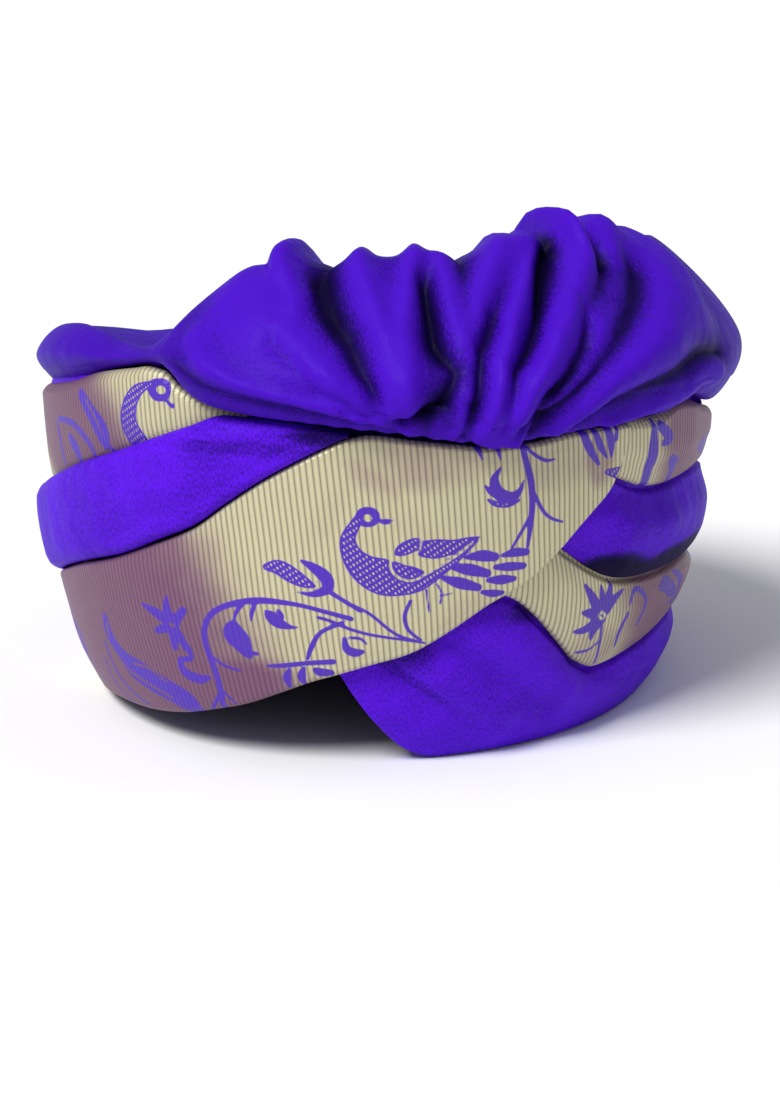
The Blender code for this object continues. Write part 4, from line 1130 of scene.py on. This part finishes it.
class TURBAN_OT_brocade_wraps(bpy.types.Operator):
    """Build the gold brocade border where it shows between the satin wraps"""
    bl_idname = "turban.brocade_wraps"
    bl_label = "Brocade wraps"

    def execute(self, context):
        own = settings()
        cloth = gold_brocade("Gold brocade", own.gold, own.gold_shade, own.mauve_painted_shade, own.figure,
                             own.rib)
        wraps = (
            ("lower_brocade_turn", "lower_brocade", LOWER_BROCADE_ROWS, MIDDLE_PROFILE,
             12.5, 11, 70, LOWER_FIGURES, LOWER_PATCHES),
            ("upper_brocade_turn", "upper_brocade", UPPER_BROCADE_ROWS, OVER_PROFILE,
             10, 4, 60, UPPER_FIGURES, UPPER_PATCHES),
            ("brocade_front_band", "front_band_brocade", BAND_BROCADE_ROWS, BROCADE_BAND_PROFILE,
             6, 6, 120, FRONT_FIGURES, FRONT_PATCHES),
        )
        for name, node, rows, profile, low, high, steps, figures, patches in wraps:
            piece, across, height = wrap_piece(name, rows, profile, low, high, steps, 0.35)
            edge, speckle = weave_figures(across, height, figures)
            give_numbers(piece, "figure", edge)
            give_numbers(piece, "speckle", speckle)
            # Painted shade on the brocade
            give_numbers(piece, "mauve_painted_shade", patch_sum(across, height, patches))
            finish_piece(piece, cloth, node)
        return {"FINISHED"}


class TURBAN_OT_puff(bpy.types.Operator):
    """Build the gathered puff and crown"""
    bl_idname = "turban.puff"
    bl_label = "Gathered puff"

    def execute(self, context):
        own = settings()
        # Painted shade: the darker copy of the satin for the puff
        cloth = violet_satin("Violet satin, puff", own.violet_puff_shaded, own.violet_shade, 0.48)
        piece = puff_piece(own.puff_cloth)
        finish_piece(piece, cloth, "crown_puff")
        return {"FINISHED"}


class TURBAN_OT_stage(bpy.types.Operator):
    """Lay the floor, hang the lights and set up the camera"""
    bl_idname = "turban.stage"
    bl_label = "Stage"

    def execute(self, context):
        own = settings()
        scene = context.scene
        mesh = bpy.data.meshes.new("floor")
        corners = [(x * FLOOR_HALF, y * FLOOR_HALF, 0)
                   for x, y in ((-1, -1), (1, -1), (1, 1), (-1, 1))]
        mesh.from_pydata(corners, [], [(0, 1, 2, 3)])
        floor = bpy.data.objects.new("floor", mesh)
        floor.data.materials.append(plain_floor("Pale sweep", own.floor))
        scene.collection.objects.link(floor)
        world = bpy.data.worlds.new("Studio")
        world.use_nodes = True
        world.node_tree.nodes["Background"].inputs[0].default_value = (0.95, 0.96, 1.0, 1.0)
        world.node_tree.nodes["Background"].inputs[1].default_value = SKY_STRENGTH
        scene.world = world
        sun = bpy.data.lights.new("key", "SUN")
        sun.energy = KEY_STRENGTH
        sun.angle = np.radians(KEY_SPREAD)
        lamp = bpy.data.objects.new("key", sun)
        lamp.matrix_world = view_matrix(*KEY_FROM)
        scene.collection.objects.link(lamp)
        camera = bpy.data.objects.new("camera", bpy.data.cameras.new("camera"))
        camera.data.lens = LENS
        camera.data.sensor_width = 36.0
        camera.matrix_world = view_matrix(*CAMERA_FROM)
        scene.collection.objects.link(camera)
        scene.camera = camera
        scene.view_settings.view_transform = "Standard"
        return {"FINISHED"}


def view_matrix(azimuth, elevation, distance, aim):
    """Place of a camera or lamp that looks at a point from that side and height."""
    aim = Vector(aim)
    turn = np.radians(azimuth)
    lift = np.radians(elevation)
    back = Vector((np.sin(turn) * np.cos(lift), -np.cos(turn) * np.cos(lift), np.sin(lift)))
    turned = back.to_track_quat("Z", "Y").to_matrix().to_4x4()
    return Matrix.Translation(aim + back * distance) @ turned


class TURBAN_PT_panel(bpy.types.Panel):
    """Lists the turban's pieces and settings"""
    bl_idname = "TURBAN_PT_panel"
    bl_label = "Turban"
    bl_space_type = "VIEW_3D"
    bl_region_type = "UI"
    bl_category = "Turban"

    def draw(self, context):
        for key in TurbanSettings.__annotations__:
            self.layout.prop(context.scene.turban_settings, key)
        for step in STEPS:
            self.layout.operator(step.bl_idname)


STEPS = (TURBAN_OT_inner_turns, TURBAN_OT_satin_wraps, TURBAN_OT_brocade_wraps, TURBAN_OT_puff,
         TURBAN_OT_stage)
CLASSES = (TurbanSettings, *STEPS, TURBAN_PT_panel)


def register():
    """Add the classes and the scene's settings."""
    for one in CLASSES:
        bpy.utils.register_class(one)
    bpy.types.Scene.turban_settings = PointerProperty(type=TurbanSettings)


def unregister():
    """Take the classes and the settings away."""
    del bpy.types.Scene.turban_settings
    for one in reversed(CLASSES):
        bpy.utils.unregister_class(one)


def main():
    """Build every piece and the stage."""
    register()
    for step in STEPS:
        group, name = step.bl_idname.split(".")
        getattr(getattr(bpy.ops, group), name)()


if __name__ == "__main__":
    main()
